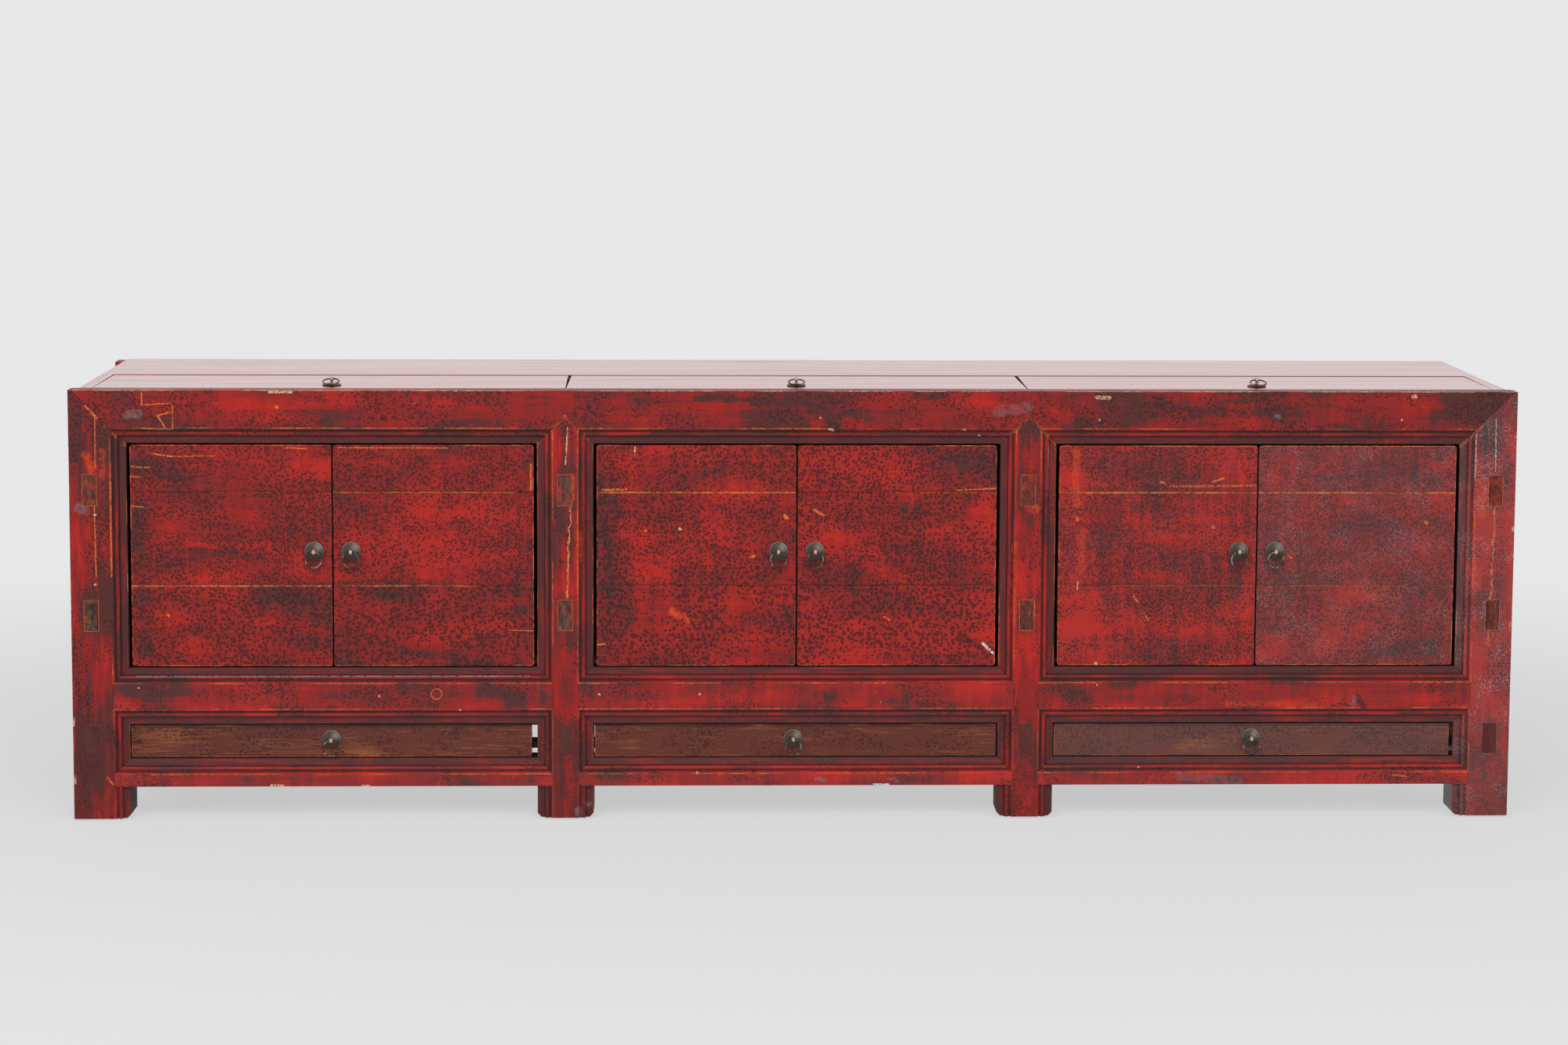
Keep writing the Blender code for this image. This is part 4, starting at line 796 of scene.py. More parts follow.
# Each mark is its kind; its two ends as x and z, and half its width, in millimetres; and its strength.
MARKS = {
    "front_top_rail": (
        ("worn", -971, 649, -971, 628, 0.5, 0.9), ("worn", -971, 628, -929, 630, 0.5, 0.9),
        ("worn", -951, 611, -929, 617, 0.7, 0.9), ("worn", -947, 610, -936, 592, 0.8, 0.9),
        ("worn", -926, 628, -926, 593, 0.5, 0.8), ("worn", -971, 593, -926, 591, 0.5, 0.8),
        ("haze", -992, 614, -976, 613, 5, 0.6), ("pale", -783, 647, -750, 647, 1.3, 0.9),
        ("worn", -773, 625, -771, 624, 1.8, 0.8), ("dark", -700, 603, -699, 602, 5, 0.9),
        ("spot", -634, 610, -628, 609, 2.2, 0.8), ("spot", -616, 608, -612, 609, 2.5, 0.8),
        ("spot", -600, 609, -596, 608, 2.2, 0.8), ("dark", -152, 639, -62, 638, 3, 0.8),
        ("dark", 6, 600, 7, 597, 8, 0.8), ("dark", 50, 602, 55, 598, 6, 0.8),
        ("pale", 48, 592, 53, 591, 1.6, 0.9), ("pale", 247, 592, 250, 592, 1.4, 0.8),
        ("dark", 180, 643, 220, 643, 2.5, 0.8), ("haze", 300, 620, 345, 626, 6, 0.4),
        ("pale", 447, 641, 466, 640, 2.5, 0.7), ("dark", 425, 603, 428, 601, 7, 0.8),
        ("dark", 718, 613, 720, 612, 6, 0.9), ("haze", 719, 612, 720, 611, 1.8, 0.7),
        ("pale", 922, 643, 926, 643, 2.4, 0.9), ("dark", 990, 650, 1060, 630, 22, 0.7),
    ),
    "front_left_post": (
        ("flame", -1054, 552, -1046, 533, 4, 0.6), ("haze", -1066, 474, -1058, 470, 5, 0.6),
        ("worn", -1040, 634, -1041, 534, 0.4, 0.7), ("worn", -1043, 478, -1042, 368, 0.5, 0.8),
        ("worn", -1019, 513, -1019, 371, 0.8, 0.7), ("worn", -1054, 626, -1037, 609, 1.4, 0.8),
        ("worn", -1030, 66, -1022, 56, 1.2, 0.7), ("pale", -1078, 68, -1078, 58, 1.2, 0.8),
        ("pale", -1079, 158, -1079, 146, 1.4, 0.8), ("dark", -1068, 260, -1068, 30, 14, 0.5),
        ("dark", -1015, 605, -1005, 560, 12, 0.6), ("dark", -1030, 500, -1022, 300, 10, 0.4),
        ("dark", -1050, 170, -1045, 80, 16, 0.5), ("flame", -1030, 560, -1030, 520, 1.6, 0.4),
        ("dark", -1060, 640, -1056, 570, 18, 0.8),
    ),
    "inner_left_post": (
        ("pale", -342, 594, -345, 540, 0.6, 0.8), ("split", -338, 474, -343, 338, 1.1, 1),
        ("flame", -335, 520, -334, 490, 2, 0.6), ("dark", -346, 610, -346, 540, 18, 0.6),
        ("dark", -335, 290, -335, 200, 18, 0.4), ("dark", -370, 480, -372, 330, 10, 0.5),
        ("flame", -325, 440, -325, 395, 1.6, 0.5), ("spot", -352, 394, -351, 393, 2.4, 0.8),
        ("haze", -326, 14, -324, 10, 2.5, 0.8), ("haze", -312, 23, -312, 22, 2, 0.8),
    ),
    "inner_right_post": (
        ("flame", 349, 474, 356, 473, 4.5, 0.7), ("worn", 355, 332, 355, 310, 2.5, 0.8),
        ("worn", 344, 330, 344, 296, 0.7, 0.8), ("flame", 327, 420, 327, 300, 1, 0.5),
        # The long thin bluish white line on this post is a painted highlight in the moulding's cove.
        ("dark", 350, 600, 350, 580, 10, 0.5), ("chip_and_highlight", 376.5, 568, 376.5, 500, 0.5, 0.5),
    ),
    "front_right_post": (
        ("dark", 1052, 640, 1052, 540, 26, 1), ("pale", 1048, 609, 1049, 530, 0.4, 0.7),
        ("split", 1050, 473, 1047, 334, 0.6, 0.9), ("flame", 1016, 386, 1026, 355, 4.5, 0.5),
        ("bright", 1030, 480, 1070, 430, 16, 0.6), ("worn", 1041, 330, 1041, 290, 0.9, 0.9),
        ("worn", 1044, 290, 1045, 262, 0.6, 0.7), ("pale", 1078, 445, 1078, 440, 1.4, 0.8),
        ("worn", 1077, 300, 1077, 288, 1.4, 0.7), ("plug", 1006, 61, 0, 0, 6, 0.5),
        # The long thin bluish white line on this post, next to the moulding, is a painted highlight on its
        # arris.
        ("chip_and_highlight", 1018.5, 585, 1018.5, 520, 0.5, 0.5), ("flame", 1031, 515, 1030, 465, 5, 0.5),
        ("bright", 1030, 520, 1030, 400, 20, 0.8), ("dark", 1056, 400, 1056, 360, 8, 0.7),
    ),
    "left_bay_left_door": (
        ("worn", -962, 555, -930, 550, 0.7, 0.9), ("worn", -930, 550, -866, 551, 0.5, 0.8),
        ("worn", -990, 535, -962, 533, 0.5, 0.8), ("worn", -990, 520, -976, 519, 0.4, 0.8),
        ("worn", -990, 476, -972, 474, 0.5, 0.8), ("bright", -905, 417, -785, 418, 3, 0.8),
        ("dark", -900, 404, -790, 402, 6, 0.45), ("dark", -790, 335, -720, 290, 20, 0.5),
        ("worn", -938, 311, -936, 310, 2, 0.8), ("dark", -980, 530, -975, 260, 8, 0.5),
        ("worn", -760, 563, -730, 562, 0.7, 0.8),
    ),
    "left_bay_right_door": (
        ("worn", -684, 563.5, -520, 563, 0.5, 0.8), ("worn", -430, 288, -390, 287, 0.4, 0.8),
        ("bright", -462, 400, -420, 408, 2.4, 0.8), ("bright", -620, 400, -500, 395, 12, 0.5),
        ("dark", -640, 340, -560, 335, 8, 0.6), ("worn", -397, 540, -397, 500, 1, 0.8),
        ("dark", -410, 300, -400, 240, 16, 0.6), ("bright", -600, 460, -430, 455, 14, 0.4),
    ),
    "centre_bay_left_door": (
        ("flame", -186, 318, -164, 302, 2.8, 0.9), ("worn", -18, 461, -15, 458, 2.2, 0.9),
        ("worn", -68, 399, -64, 400, 1.8, 0.9), ("pale", -176, 442, -174, 441, 1.6, 0.9),
        ("worn", -227, 439, -226, 438, 1.3, 0.9), ("dark", -285, 500, -285, 360, 12, 0.4),
        ("dark", -272, 330, -282, 250, 16, 0.5), ("worn", -297, 266, -287, 267, 1, 0.9),
        ("pale", -242, 564, -242, 554, 0.7, 0.9), ("bright", -240, 450, -230, 380, 16, 0.6),
        ("worn", -290, 500, -255, 501, 1.2, 0.8),
    ),
    "centre_bay_right_door": (
        ("bright", 286, 480, 286, 290, 16, 0.7), ("dark", 170, 420, 250, 370, 24, 0.5),
        ("spot", 248, 279, 278, 262, 4.5, 0.7), ("chip_and_highlight", 281, 267, 296, 253, 1.7, 0.95),
        ("worn", 241, 500, 304, 503, 0.6, 0.9), ("dark", 260, 548, 295, 530, 12, 0.4),
        ("worn", 132, 308, 140, 303, 0.9, 0.9), ("worn", 26, 470, 40, 462, 1.6, 0.7),
        ("bright", 60, 530, 180, 535, 10, 0.5),
    ),
    "right_bay_left_door": (
        ("bright", 420, 540, 420, 270, 14, 0.9), ("flame", 418, 560, 420, 480, 3, 0.45),
        ("flame", 428, 440, 428, 380, 3, 0.35), ("bright", 450, 340, 452, 245, 7, 0.8),
        ("worn", 624, 513, 640, 518, 1.2, 0.9), ("worn", 560, 506, 690, 507, 1.3, 0.5),
        ("worn", 420, 458, 421, 455, 2, 0.8), ("worn", 625, 444, 629, 444, 1.8, 0.9),
        ("chip_and_highlight", 423, 361, 422, 350, 0.5, 0.8), ("worn", 507, 339, 514, 330, 0.6, 0.9),
        ("worn", 524, 313, 531, 301, 0.5, 0.9), ("dark", 447, 272, 447, 268, 6, 0.8),
        ("pale", 451, 237, 453, 236, 2, 0.8), ("worn", 545, 513, 552, 510, 1.2, 0.7),
    ),
    "right_bay_right_door": (
        ("dark", 950, 330, 960, 250, 30, 0.6), ("dark", 790, 513, 980, 514, 8, 0.5),
        ("bright", 720, 262, 840, 262, 16, 0.5), ("bright", 960, 545, 975, 520, 8, 0.6),
        ("worn", 742, 400, 744, 398, 1.5, 0.8), ("dark", 740, 370, 930, 366, 6, 0.5),
        ("worn", 947, 452, 949, 450, 2, 0.7),
    ),
    "left_middle_rail": (
        ("dark", -780, 170, -690, 168, 4, 0.7), ("dark", -460, 200, -420, 180, 10, 0.6),
        # The long thin bluish white line along this rail is a painted highlight on the moulding's bead.
        ("dark", -985, 200, -960, 180, 10, 0.5), ("chip_and_highlight", -985, 219.5, -400, 219.5, 0.5, 0.3),
        ("plug", -538.5, 192.5, 0, 0, 7.8, 0.8),
    ),
    "centre_middle_rail": (
        ("spot", 72, 182, 78, 176, 0.8, 0.9), ("dark", -280, 165, 280, 166, 4, 0.5),
    ),
    "right_middle_rail": (
        ("spot", 848, 185, 858, 172, 4, 0.8), ("haze", 844, 186, 844, 172, 1, 0.7),
        ("flame", 651, 176, 785, 174, 2, 0.4), ("dark", 400, 200, 430, 180, 10, 0.6),
    ),
    "left_bottom_rail": (
        ("pale", -786, 54, -768, 54, 1.2, 0.9), ("pale", -650, 53, -640, 53, 1, 0.8),
        ("dark", -520, 66, -400, 64, 8, 0.5),
    ),
    "centre_bottom_rail": (
        ("chip_and_highlight", 118, 53, 140, 53, 1.4, 0.95), ("haze", 30, 62, 44, 60, 0.8, 0.7),
        ("haze", 142, 63, 152, 59, 1, 0.7), ("dark", -290, 66, -240, 64, 6, 0.6),
    ),
    "right_bottom_rail": (
        ("haze", 580, 64, 670, 58, 5, 0.35), ("worn", 905, 66, 925, 64, 1, 0.6),
        ("dark", 640, 60, 720, 62, 6, 0.5),
    ),
}


def marks_on(piece):
    """Each mark of a piece in metres: its kind, its two ends, half its width, and its strength."""
    for kind, *lengths, strength in MARKS.get(piece, ()):
        x, z, far_x, far_z, width = (across / 1000 for across in lengths)
        yield kind, (x, z), (far_x, far_z), width, strength


def tenon_end(place):
    """The mask and colour of the end grain where a cross rail shows on the front."""
    look = bpy.context.scene.sideboard_lacquer
    x, depth, height = place.split()
    shade = x.step(0.0, 0.1).tint(look.patch, look.drawer)
    grain = place.noise((0.004, 0.02, 0.009), 4.0, 0.7)
    shade = grain.step(0.40, 0.60, 0.0, 0.9).tint(shade, look.spot)
    rubbed = place.noise((0.006, 0.02, 0.012), 3.0, 0.7)
    shade = rubbed.step(0.50, 0.66, 0.0, 0.35).tint(shade, look.flame)
    upper = height.step(CROSS_LEVELS[2] - LEVEL_BLUR, CROSS_LEVELS[2], 0.0, 0.18)
    lower = height.fall(UPPER_TENONS, UPPER_TENONS + LEVEL_BLUR, 0.80)
    front = depth.fall(FRONT + TENON_SHOWS, FRONT + TENON_SHOWS + 0.0006)
    return front, lower.tint(upper.tint(shade, look.middle), look.dark)


def wood_material(name, grain="X", tenons=False, seams=()):
    """Bare wood; seams are the heights of the joints between its boards."""
    look = bpy.context.scene.sideboard_wood
    made, shader, place = material(name)
    wood = use("Bare wood", Place=along_grain(place, grain), Light=look.light, Deep=look.deep)
    shade = wood["Color"]
    height = place.split()[2]
    for at in seams:
        shade = height.near(at, 0.0004, 0.0016, 0.85).tint(shade, SEAM_DIRT)
        board = calc("GREATER_THAN", height, at) * 0.16
        shade = board.tint(shade, look.deep if at == seams[0] else look.light)
    if tenons:
        mask, end_grain = tenon_end(place)
        shade = mask.tint(shade, end_grain)
    give(shader, {"Base Color": shade, "Roughness": wood["Height"].step(0.6, 1.5, 0.68, 0.82)})
    raise_surface(shader, wood["Height"], 0.0004)
    return made


# Pulls


def circle(steps):
    """The angles of the points round a full turn."""
    return [2 * math.pi * index / steps for index in range(steps)]


def bridge(shape, loops):
    """Faces between each loop of points and the next; a loop of one point is a tip."""
    for here, there in zip(loops, loops[1:]):
        count = max(len(here), len(there))
        for index in range(count):
            pairs = ((here, index), (there, index), (there, index + 1), (here, index + 1))
            corners = [loop[at % count % len(loop)] for loop, at in pairs]
            shape.faces.new(list(dict.fromkeys(corners)))


def lathe(shape, profile, steps, place):
    """Turns a profile of (radius, height) pairs, closed at both ends on the axis."""
    loops = []
    for radius, height in profile:
        points = [
            Vector((radius * math.cos(turn), radius * math.sin(turn), height))
            for turn in circle(steps if radius else 1)
        ]
        loops.append([shape.verts.new(place @ point) for point in points])
    bridge(shape, loops)


def swept(shape, path, across, half_width, half_thick):
    """A strip of rectangular section bent along an open path; across is the direction of its width."""
    loops = []
    for index, point in enumerate(path):
        along = (path[min(index + 1, len(path) - 1)] - path[max(index - 1, 0)]).normalized()
        out = along.cross(across).normalized()
        loops.append([
            shape.verts.new(point + across * half_width * a + out * half_thick * b)
            for a, b in ((-1, -1), (1, -1), (1, 1), (-1, 1))
        ])
    bridge(shape, loops)
    shape.faces.new(loops[0])
    shape.faces.new(list(reversed(loops[-1])))


def object_from(shape, name, made, wear_and_painted_light=None):
    """Makes an object from built faces; the given function gives each point's rubbed brightness, with
    painted highlight and painted shade, from 0 to 1.
    """
    bmesh.ops.recalc_face_normals(shape, faces=shape.faces)
    mesh = bpy.data.meshes.new(name)
    shape.to_mesh(mesh)
    shape.free()
    if wear_and_painted_light:
        rubbed = mesh.attributes.new("wear_and_painted_light", "FLOAT", "POINT")
        for vertex in mesh.vertices:
            rubbed.data[vertex.index].value = wear_and_painted_light(vertex.co)
    mesh.materials.append(made)
    mesh.shade_smooth()
    mesh.set_sharp_from_angle(angle=SHARP_ANGLE)
    obj = bpy.data.objects.new(name, mesh)
    bpy.context.scene.collection.objects.link(obj)
    return obj


def pull_turn(stem):
    """The place of a pull's plate and how it is turned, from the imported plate."""
    low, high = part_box(f"{stem}_pull_plate")
    if stem.endswith("lid"):
        return Matrix.Translation(((low.x + high.x) / 2, (low.y + high.y) / 2, low.z))
    spot = ((low.x + high.x) / 2, high.y, (low.z + high.z) / 2)
    return Matrix.Translation(spot) @ Matrix.Rotation(math.pi / 2, 4, "X")


def plate_piece(stem, body, made):
    """A domed plate with a worn rim, a painted highlight and painted shade, for the split pin's eye to
    stand on.
    """
    look = bpy.context.scene.sideboard_pulls
    place = pull_turn(stem)
    radius = look.plate_radius
    shape = bmesh.new()
    profile = [(across / 10000, height / 10000) for across, height in DOME]
    profile += [(radius - 0.0002, 0.0009), (radius, 0.0005), (radius - 0.0001, 0.0), (0, 0.0)]
    lathe(shape, profile, look.sides, place)
    back = place.inverted()

    def wear_and_painted_light(point):
        """Rubbed bright at the rim, and more at its top, as wear and painted light; a painted highlight on
        the upper right; and painted shade at the foot, where the ring hangs against it.
        """
        across, up, _ = (back @ point) / radius
        rim = max(0.0, math.hypot(across, up) - 0.86) / 0.14 * (0.5 + 0.5 * up)
        # Painted highlight on the upper right of the dome.
        painted_highlight = max(0.0, 1.0 - math.hypot(across - 0.42, up - 0.38) / 0.62)
        return max(0.0, min(1.0, 0.07 + 0.40 * rim + 0.60 * painted_highlight + 0.07 * up))

    plate = object_from(shape, f"{stem}_plate", made, wear_and_painted_light)
    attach(plate, body)
    return plate


def pin_piece(stem, body, made):
    """The split pin: a strip bent into an eye, its two legs side by side through the plate."""
    place = pull_turn(stem)
    turns = [math.radians(EYE_START + EYE_SWEEP * index / EYE_STEPS) for index in range(EYE_STEPS + 1)]
    bend = [(math.cos(turn) * EYE_BEND, EYE_HEIGHT + math.sin(turn) * EYE_BEND) for turn in turns]
    path = [Vector((0, *point)) for point in [(PIN_ASIDE, PIN_END)] + bend + [(-PIN_ASIDE, PIN_END)]]
    shape = bmesh.new()
    across = place.to_3x3() @ Vector(ALONG_X)
    swept(shape, [place @ point for point in path], across, PIN_HALF_WIDTH, PIN_HALF_THICK)
    pin = object_from(shape, f"{stem}_split_pin", made)
    modify(pin, "round edges", "BEVEL", width=PIN_BEVEL, segments=2)
    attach(pin, body)
    return pin


def ring_piece(stem, body, made):
    """The ring, a little flattened where it was closed."""
    look = bpy.context.scene.sideboard_pulls
    place = pull_turn(stem) @ Matrix.Translation((0, 0, EYE_HEIGHT + RING_GAP))
    if stem.endswith("lid"):
        place = place @ Matrix.Rotation(LID_TILT, 4, "X")
    shape = bmesh.new()
    loops = []
    for angle in circle(RING_STEPS):
        out = Vector((math.cos(angle), math.sin(angle), 0))
        centre = out * look.ring_radius - Vector((0, look.ring_radius, 0))
        wire = look.wire * (1 - 0.10 * (0.5 + 0.5 * math.sin(angle)) - 0.04 * math.sin(3 * angle + 1))
        rounds = [out * math.cos(turn) + Vector((0, 0, math.sin(turn))) for turn in circle(WIRE_SIDES)]
        loops.append([shape.verts.new(place @ (centre + wire * point)) for point in rounds])
    bridge(shape, loops + loops[:1])
    ring = object_from(shape, f"{stem}_ring", made)
    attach(ring, body)
    return ring


def metal(name, skin, rubbed, roughness, wear_and_painted_light, rougher, worn=False):
    """Old brass with a dark skin, rubbed bright in places; on the plates the bright places also hold a
    painted highlight and painted shade.
    """
    made, shader, place = material(name)
    cloud = place.noise(0.010, 4.0, 0.6)
    fine = place.noise(0.0009, 3.0, 0.6)
    mask = (cloud + fine * 0.25).step(wear_and_painted_light, wear_and_painted_light + 0.25)
    # On the plates the mask is each point's stored value: rubbed brightness with a painted highlight and
    # painted shade.
    if worn:
        rub_and_painted_light = result(place.tree, "ShaderNodeAttribute", output="Fac", attribute_name="wear_and_painted_light")
        mask = rub_and_painted_light * cloud.step(0.25, 0.55, 0.5, 1.0)
    rough = cloud.step(0.3, 0.7, roughness, roughness + rougher)
    give(shader, {"Base Color": mask.tint(skin, rubbed), "Metallic": 0.7, "Roughness": rough})
    raise_surface(shader, cloud + fine * 0.5, 0.00006)
    return made


# Operators


class SIDEBOARD_OT_front_frame(bpy.types.Operator):
    """Lacquer the four front posts and the seven rails between them"""

    bl_idname = "sideboard.front_frame"
    bl_label = "Front frame"

    def execute(self, context):
        for index, name in enumerate(POSTS):
            clothe(name, front_post_coat(index), ARRIS_BEVELS["front post"])
        coat = rail_coat("front_top_rail", RAIL_SEED, tone=0.365, spots=0.50, upright=0.5)
        _, y, z = coat.place.split()
        arris = z.step(HEIGHT - 0.0014, HEIGHT - 0.0006) * y.fall(FRONT + 0.0016, FRONT + 0.0034)
        coat.lay(coat.broken(arris, 0.47), coat.look.pale, 0.75)
        for pairs in mitres():
            for start, end in pairs:
                coat.joint(start, end)
        clothe("front_top_rail", coat.finish(), ARRIS_BEVELS["top rail"])
        for index, bay in enumerate(BAYS):
            coat = rail_coat(f"{bay}_middle_rail", RAIL_SEED + 1 + index, tone=0.41, spots=0.32)
            clothe(f"{bay}_middle_rail", coat.finish(sheen=0.35), ARRIS_BEVELS["middle rail"])
            coat = rail_coat(f"{bay}_bottom_rail", RAIL_SEED + 4 + index, tone=0.54, spots=0.24)
            clothe(f"{bay}_bottom_rail", coat.finish(sheen=0.45), ARRIS_BEVELS["bottom rail"])
        return {"FINISHED"}


class SIDEBOARD_OT_doors(bpy.types.Operator):
    """Lacquer the six plank doors"""

    bl_idname = "sideboard.doors"
    bl_label = "Doors"

    def execute(self, context):
        for index, name in enumerate(stem for stem in STEMS if stem.endswith("door")):
            clothe(name, door_coat(name, index), ARRIS_BEVELS["door"])
        return {"FINISHED"}


class SIDEBOARD_OT_drawers(bpy.types.Operator):
    """Finish the three drawers, brown in front and bare behind"""

    bl_idname = "sideboard.drawers"
    bl_label = "Drawers"

    def execute(self, context):
        for index, bay in enumerate(BAYS):
            name = f"{bay}_drawer"
            tone, sheen, ochre = DRAWER_LOOKS[index]
            coat = Coat(name, DRAWER_SEED + index, "X", tone, spots=0.42, brown=True)
            low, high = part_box(name)
            coat.edges(low, high, width=0.0009, strength=0.6)
            # Painted shadow: the spot colour along the top of the drawer front, where the rail above shades
            # it.
            coat.lay(coat.swayed.split()[2].step(high.z - 0.0060, high.z - 0.0015), coat.look.spot, 0.8)
            coat.flecks(spacing=0.035, amount=0.2)
            streaks = coat.grained.noise((0.040, 0.0026, 0.0026), 4.0, 0.7).step(0.50, 0.62)
            patches = coat.grained.noise((0.14, 0.05, 0.02), 2.0).step(0.42, 0.58)
            coat.lay(streaks * patches, coat.look.ochre, ochre)
            behind = FRONT + DRAWER_SKIN
            coat.bare(coat.place.split()[1].step(behind, behind + SKIN_BLUR))
            clothe(name, coat.finish(sheen=sheen), ARRIS_BEVELS["drawer"])
        return {"FINISHED"}


class SIDEBOARD_OT_top(bpy.types.Operator):
    """Lacquer the three lids and the fixed board behind them"""

    bl_idname = "sideboard.top"
    bl_label = "Top"

    def execute(self, context):
        for index, name in enumerate([f"{bay}_lid" for bay in BAYS] + ["rear_top_board"]):
            coat = Coat(name, TOP_SEED + index, "X", tone=0.72, spots=0.05)
            low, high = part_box(name)
            coat.flecks(spacing=0.05, amount=0.3)
            height = coat.place.split()[2]
            # Painted shade: the dark red on every face lower than the top, so that the gaps between the
            # lids and the board look dark.
            painted_side_shade = height.fall(high.z - 0.00030, high.z - 0.00005)
            coat.lay(painted_side_shade, coat.look.dark, 0.9, 0.4)
            bottom = low.z + 0.001 if name == "rear_top_board" else high.z - LID_SKIN
            coat.bare(height.fall(bottom, bottom + 0.002))
            coat.bleach(1.0 - painted_side_shade)
            clothe(name, coat.finish(depth=0.00012, sheen=0.7), ARRIS_BEVELS["lid"])
        return {"FINISHED"}


class SIDEBOARD_OT_ends(bpy.types.Operator):
    """Lacquer the panelled ends and the rear corner posts"""

    bl_idname = "sideboard.ends"
    bl_label = "Ends"

    def execute(self, context):
        for index, side in enumerate(SIDES):
            coat = Coat(f"{side}_end_frame", END_SEED + index, "Y", tone=0.46, spots=0.2)
            coat.flecks(spacing=0.04, amount=0.3)
            low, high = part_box(f"{side}_end_frame")
            x, _, z = coat.place.split()
            inside = abs(x).fall(-LEFT - END_SKIN - 0.003, -LEFT - END_SKIN)
            coat.bare(inside * z.fall(high.z - 0.004, high.z - 0.002))
            coat.lay(*tenon_end(coat.place))
            coat.bleach(z.step(high.z - 0.0009, high.z - 0.0003))
            clothe(f"{side}_end_frame", coat.finish(), ARRIS_BEVELS["end frame"])
            coat = Coat(f"rear_{side}_post", REAR_SEED + index, "Z", tone=0.14, spots=0.3)
            coat.edges(*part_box(f"rear_{side}_post"), width=0.0009, strength=0.5)
            coat.flecks(spacing=0.04, amount=0.3)
            coat.glides()
            clothe(f"rear_{side}_post", coat.finish(), ARRIS_BEVELS["rear post"])
        return {"FINISHED"}


class SIDEBOARD_OT_inside(bpy.types.Operator):
    """Give the partitions, floors, back and drawer runners their bare wood"""

    bl_idname = "sideboard.inside"
    bl_label = "Inside and back"

    def execute(self, context):
        low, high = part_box("back_panel")
        tall = high.z - low.z
        boards = wood_material("wood_boards")
        back = wood_material("wood_back", seams=(low.z + 0.31 * tall, low.z + 0.68 * tall))
        upright = wood_material("wood_upright", "Z", tenons=True)
        clothe("back_panel", back, ARRIS_BEVELS["board"])
        clothe("drawer_runner_frame", wood_material("wood_runners", "Y"), ARRIS_BEVELS["inner frame"])
        for side in SIDES:
            clothe(f"{side}_partition_frame", upright, ARRIS_BEVELS["inner frame"])
        for bay in BAYS:
            clothe(f"{bay}_cupboard_floor", boards, ARRIS_BEVELS["board"])
        return {"FINISHED"}


class SIDEBOARD_OT_pulls(bpy.types.Operator):
    """Make the twelve pulls: plate, split pin and ring"""

    bl_idname = "sideboard.pulls"
    bl_label = "Ring pulls"

    def execute(self, context):
        look = context.scene.sideboard_pulls
        skin, rubbed = look.bronze, look.rubbed
        plates = metal("brass_plate", skin, rubbed, roughness=0.36, wear_and_painted_light=0.66, rougher=0.16, worn=True)
        pins = metal("brass_pin", skin, look.pin, roughness=0.34, wear_and_painted_light=0.34, rougher=0.15)
        rings = metal("brass_ring", skin, rubbed, roughness=0.30, wear_and_painted_light=0.58, rougher=0.15)
        for stem in STEMS:
            plate = plate_piece(stem, stem, plates)
            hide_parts(f"{stem}_pull_plate")
            pin = pin_piece(stem, stem, pins)
            ring = ring_piece(stem, f"{stem}_ring", rings)
            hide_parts(f"{stem}_pull_ring")
        return {"FINISHED"}


class SIDEBOARD_OT_stage(bpy.types.Operator):
    """Set the floor, the lamps and the camera"""

    bl_idname = "sideboard.stage"
    bl_label = "Stage"

    def execute(self, context):
        scene = context.scene
        look = scene.sideboard_stage
        scene.view_settings.view_transform = "Standard"
        ground(look)
        lamp("key_lamp", (-0.4, -3.4, 2.9), (4.6, 2.0), look.key_power)
        lamp("left_lamp", (-3.6, -2.6, 1.6), (1.6, 2.2), look.fill_power)
        lamp("right_lamp", (3.6, -2.6, 1.6), (1.6, 2.2), look.fill_power)
        world(scene, look)
        camera = settle(bpy.data.cameras.new("camera"), lens=look.lens, sensor_width=36, shift_y=look.shift)
        scene.camera = stand("camera", camera, look.camera_place, look.camera_turn)
        return {"FINISHED"}


def stand(name, data, place, turn):
    """Stands a lamp or a camera in the scene."""
    obj = settle(bpy.data.objects.new(name, data), location=place, rotation_euler=turn)
    bpy.context.scene.collection.objects.link(obj)
    return obj


def lamp(name, place, size, watts):
    """A soft lamp aimed at the middle of the piece."""
    light = bpy.data.lights.new(name, "AREA")
    settle(light, shape="RECTANGLE", size=size[0], size_y=size[1], energy=watts)
    turn = (Vector(LAMP_AIM) - Vector(place)).to_track_quat("-Z", "Y").to_euler()
    stand(name, light, place, turn).visible_glossy = False


def seen(tree):
    """Whether a ray comes from the camera, straight, mirrored or let through."""
    rays = outputs_of(put(tree, "ShaderNodeLightPath"))
    shown = calc("MAXIMUM", rays["Is Camera Ray"], rays["Is Glossy Ray"])
    return calc("MAXIMUM", shown, rays["Is Transmission Ray"])


def world(scene, look):
    """Soft light from all round, with the pale wall seen in reflections."""
    made = settle(bpy.data.worlds.new("studio"), use_nodes=True)
    strength = seen(made.node_tree).step(0.0, 1.0, WORLD_FILL, 1.0)
    give(made.node_tree.nodes["Background"], {"Color": look.wall, "Strength": strength})
    scene.world = made


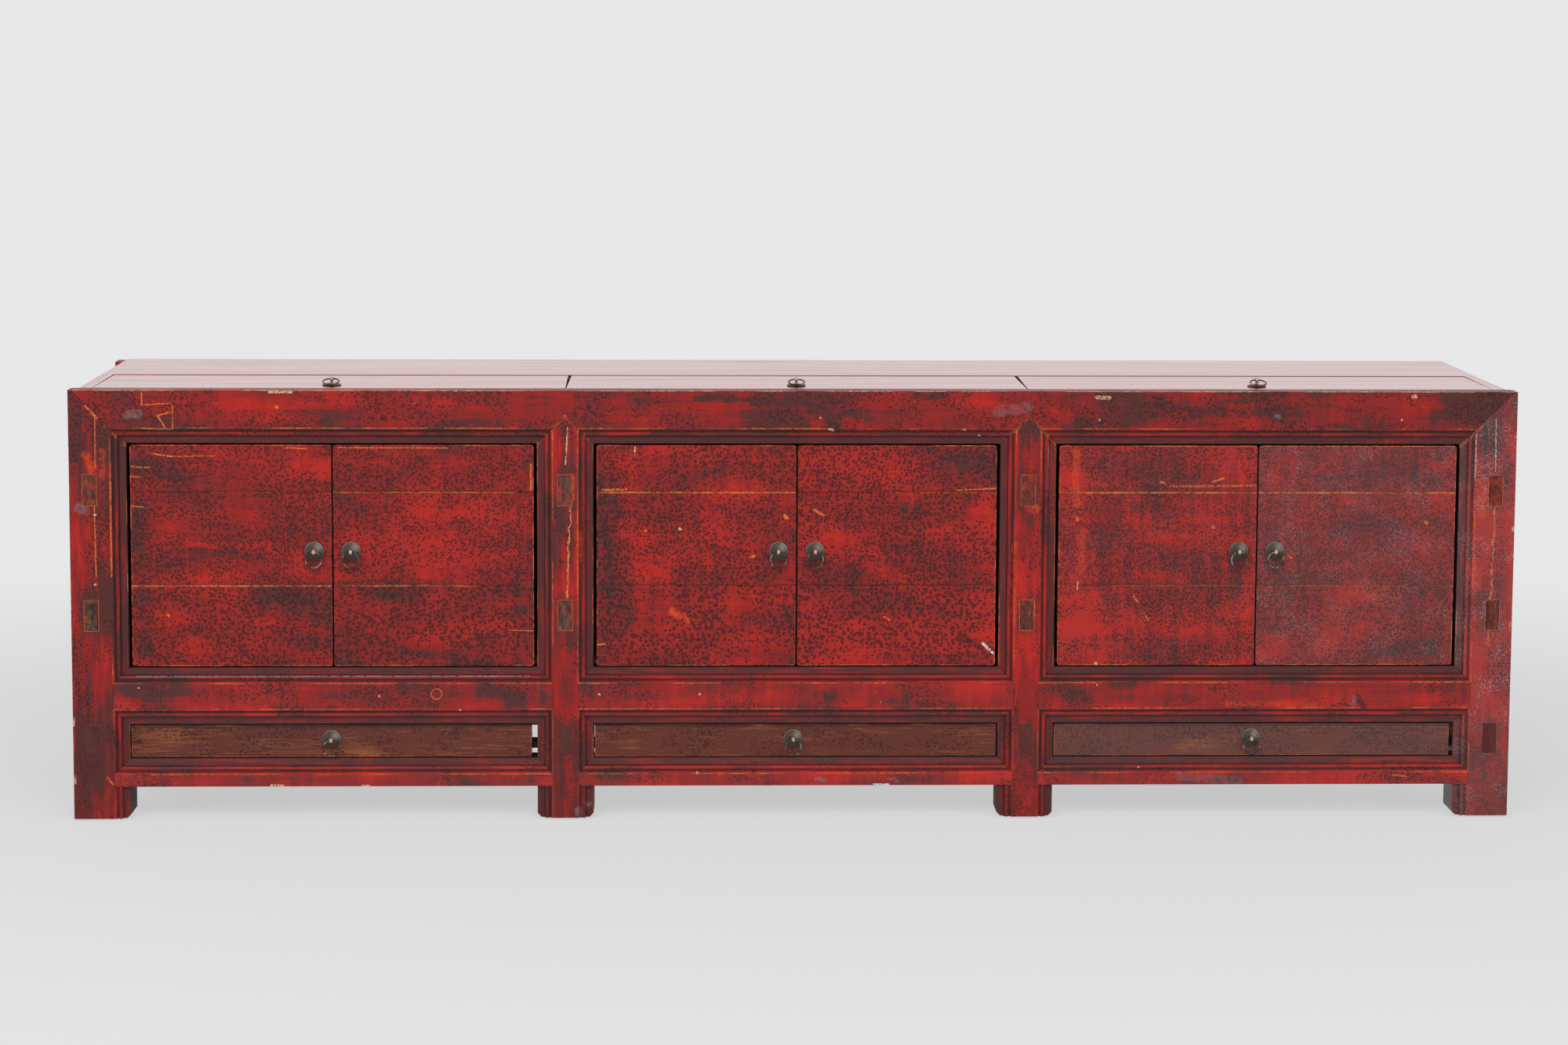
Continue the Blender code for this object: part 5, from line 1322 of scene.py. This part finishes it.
def ground(look):
    """A pale matt floor that passes into the wall's colour away from the piece, alike on every side."""
    shape = bmesh.new()
    turns = ((-1, -1), (1, -1), (1, 1), (-1, 1))
    shape.faces.new([shape.verts.new((x * FLOOR_REACH, y * FLOOR_REACH, 0.0)) for x, y in turns])
    made, shader, place = material("floor")
    tree = made.node_tree
    far = calc("LENGTH", place * (0.7, 1.0, 0.0)).step(CLEAR_FLOOR, LOST_FLOOR, FLOOR_GLOW, 1.0)
    give(shader, {"Base Color": look.floor, "Roughness": 0.9, "Specular IOR Level": 0.1})
    glow = result(tree, "ShaderNodeEmission", {"Color": look.wall, "Strength": 1.0})
    mix = result(tree, "ShaderNodeMixShader", {0: seen(tree) * far, 1: Value(shader.outputs[0]), 2: glow})
    give(tree.nodes["Material Output"], {"Surface": mix})
    object_from(shape, "floor", made)


class SIDEBOARD_PT_panel(bpy.types.Panel):
    """Lists the sideboard's pieces"""

    bl_label = "Sideboard"
    bl_idname = "SIDEBOARD_PT_panel"
    bl_space_type = "VIEW_3D"
    bl_region_type = "UI"
    bl_category = "Sideboard"

    def draw(self, context):
        for operator in OPERATORS:
            self.layout.operator(operator.bl_idname)
        for name in SETTINGS:
            owner = getattr(context.scene, name)
            for key in owner.__annotations__:
                self.layout.prop(owner, key)


OPERATORS = (
    SIDEBOARD_OT_front_frame,
    SIDEBOARD_OT_doors,
    SIDEBOARD_OT_drawers,
    SIDEBOARD_OT_top,
    SIDEBOARD_OT_ends,
    SIDEBOARD_OT_inside,
    SIDEBOARD_OT_pulls,
    SIDEBOARD_OT_stage,
)
SETTINGS = {
    "sideboard_lacquer": LacquerSettings,
    "sideboard_wood": WoodSettings,
    "sideboard_pulls": PullSettings,
    "sideboard_stage": StageSettings,
}


def register():
    for made in (*SETTINGS.values(), *OPERATORS, SIDEBOARD_PT_panel):
        bpy.utils.register_class(made)
    for name, made in SETTINGS.items():
        setattr(bpy.types.Scene, name, PointerProperty(type=made))


def unregister():
    for name in SETTINGS:
        delattr(bpy.types.Scene, name)
    for made in reversed((*SETTINGS.values(), *OPERATORS, SIDEBOARD_PT_panel)):
        bpy.utils.unregister_class(made)


def main():
    register()
    build_shared_effects()
    bpy.ops.sideboard.front_frame()
    bpy.ops.sideboard.doors()
    bpy.ops.sideboard.drawers()
    bpy.ops.sideboard.top()
    bpy.ops.sideboard.ends()
    bpy.ops.sideboard.inside()
    bpy.ops.sideboard.pulls()
    bpy.ops.sideboard.stage()


if __name__ == "__main__":
    main()
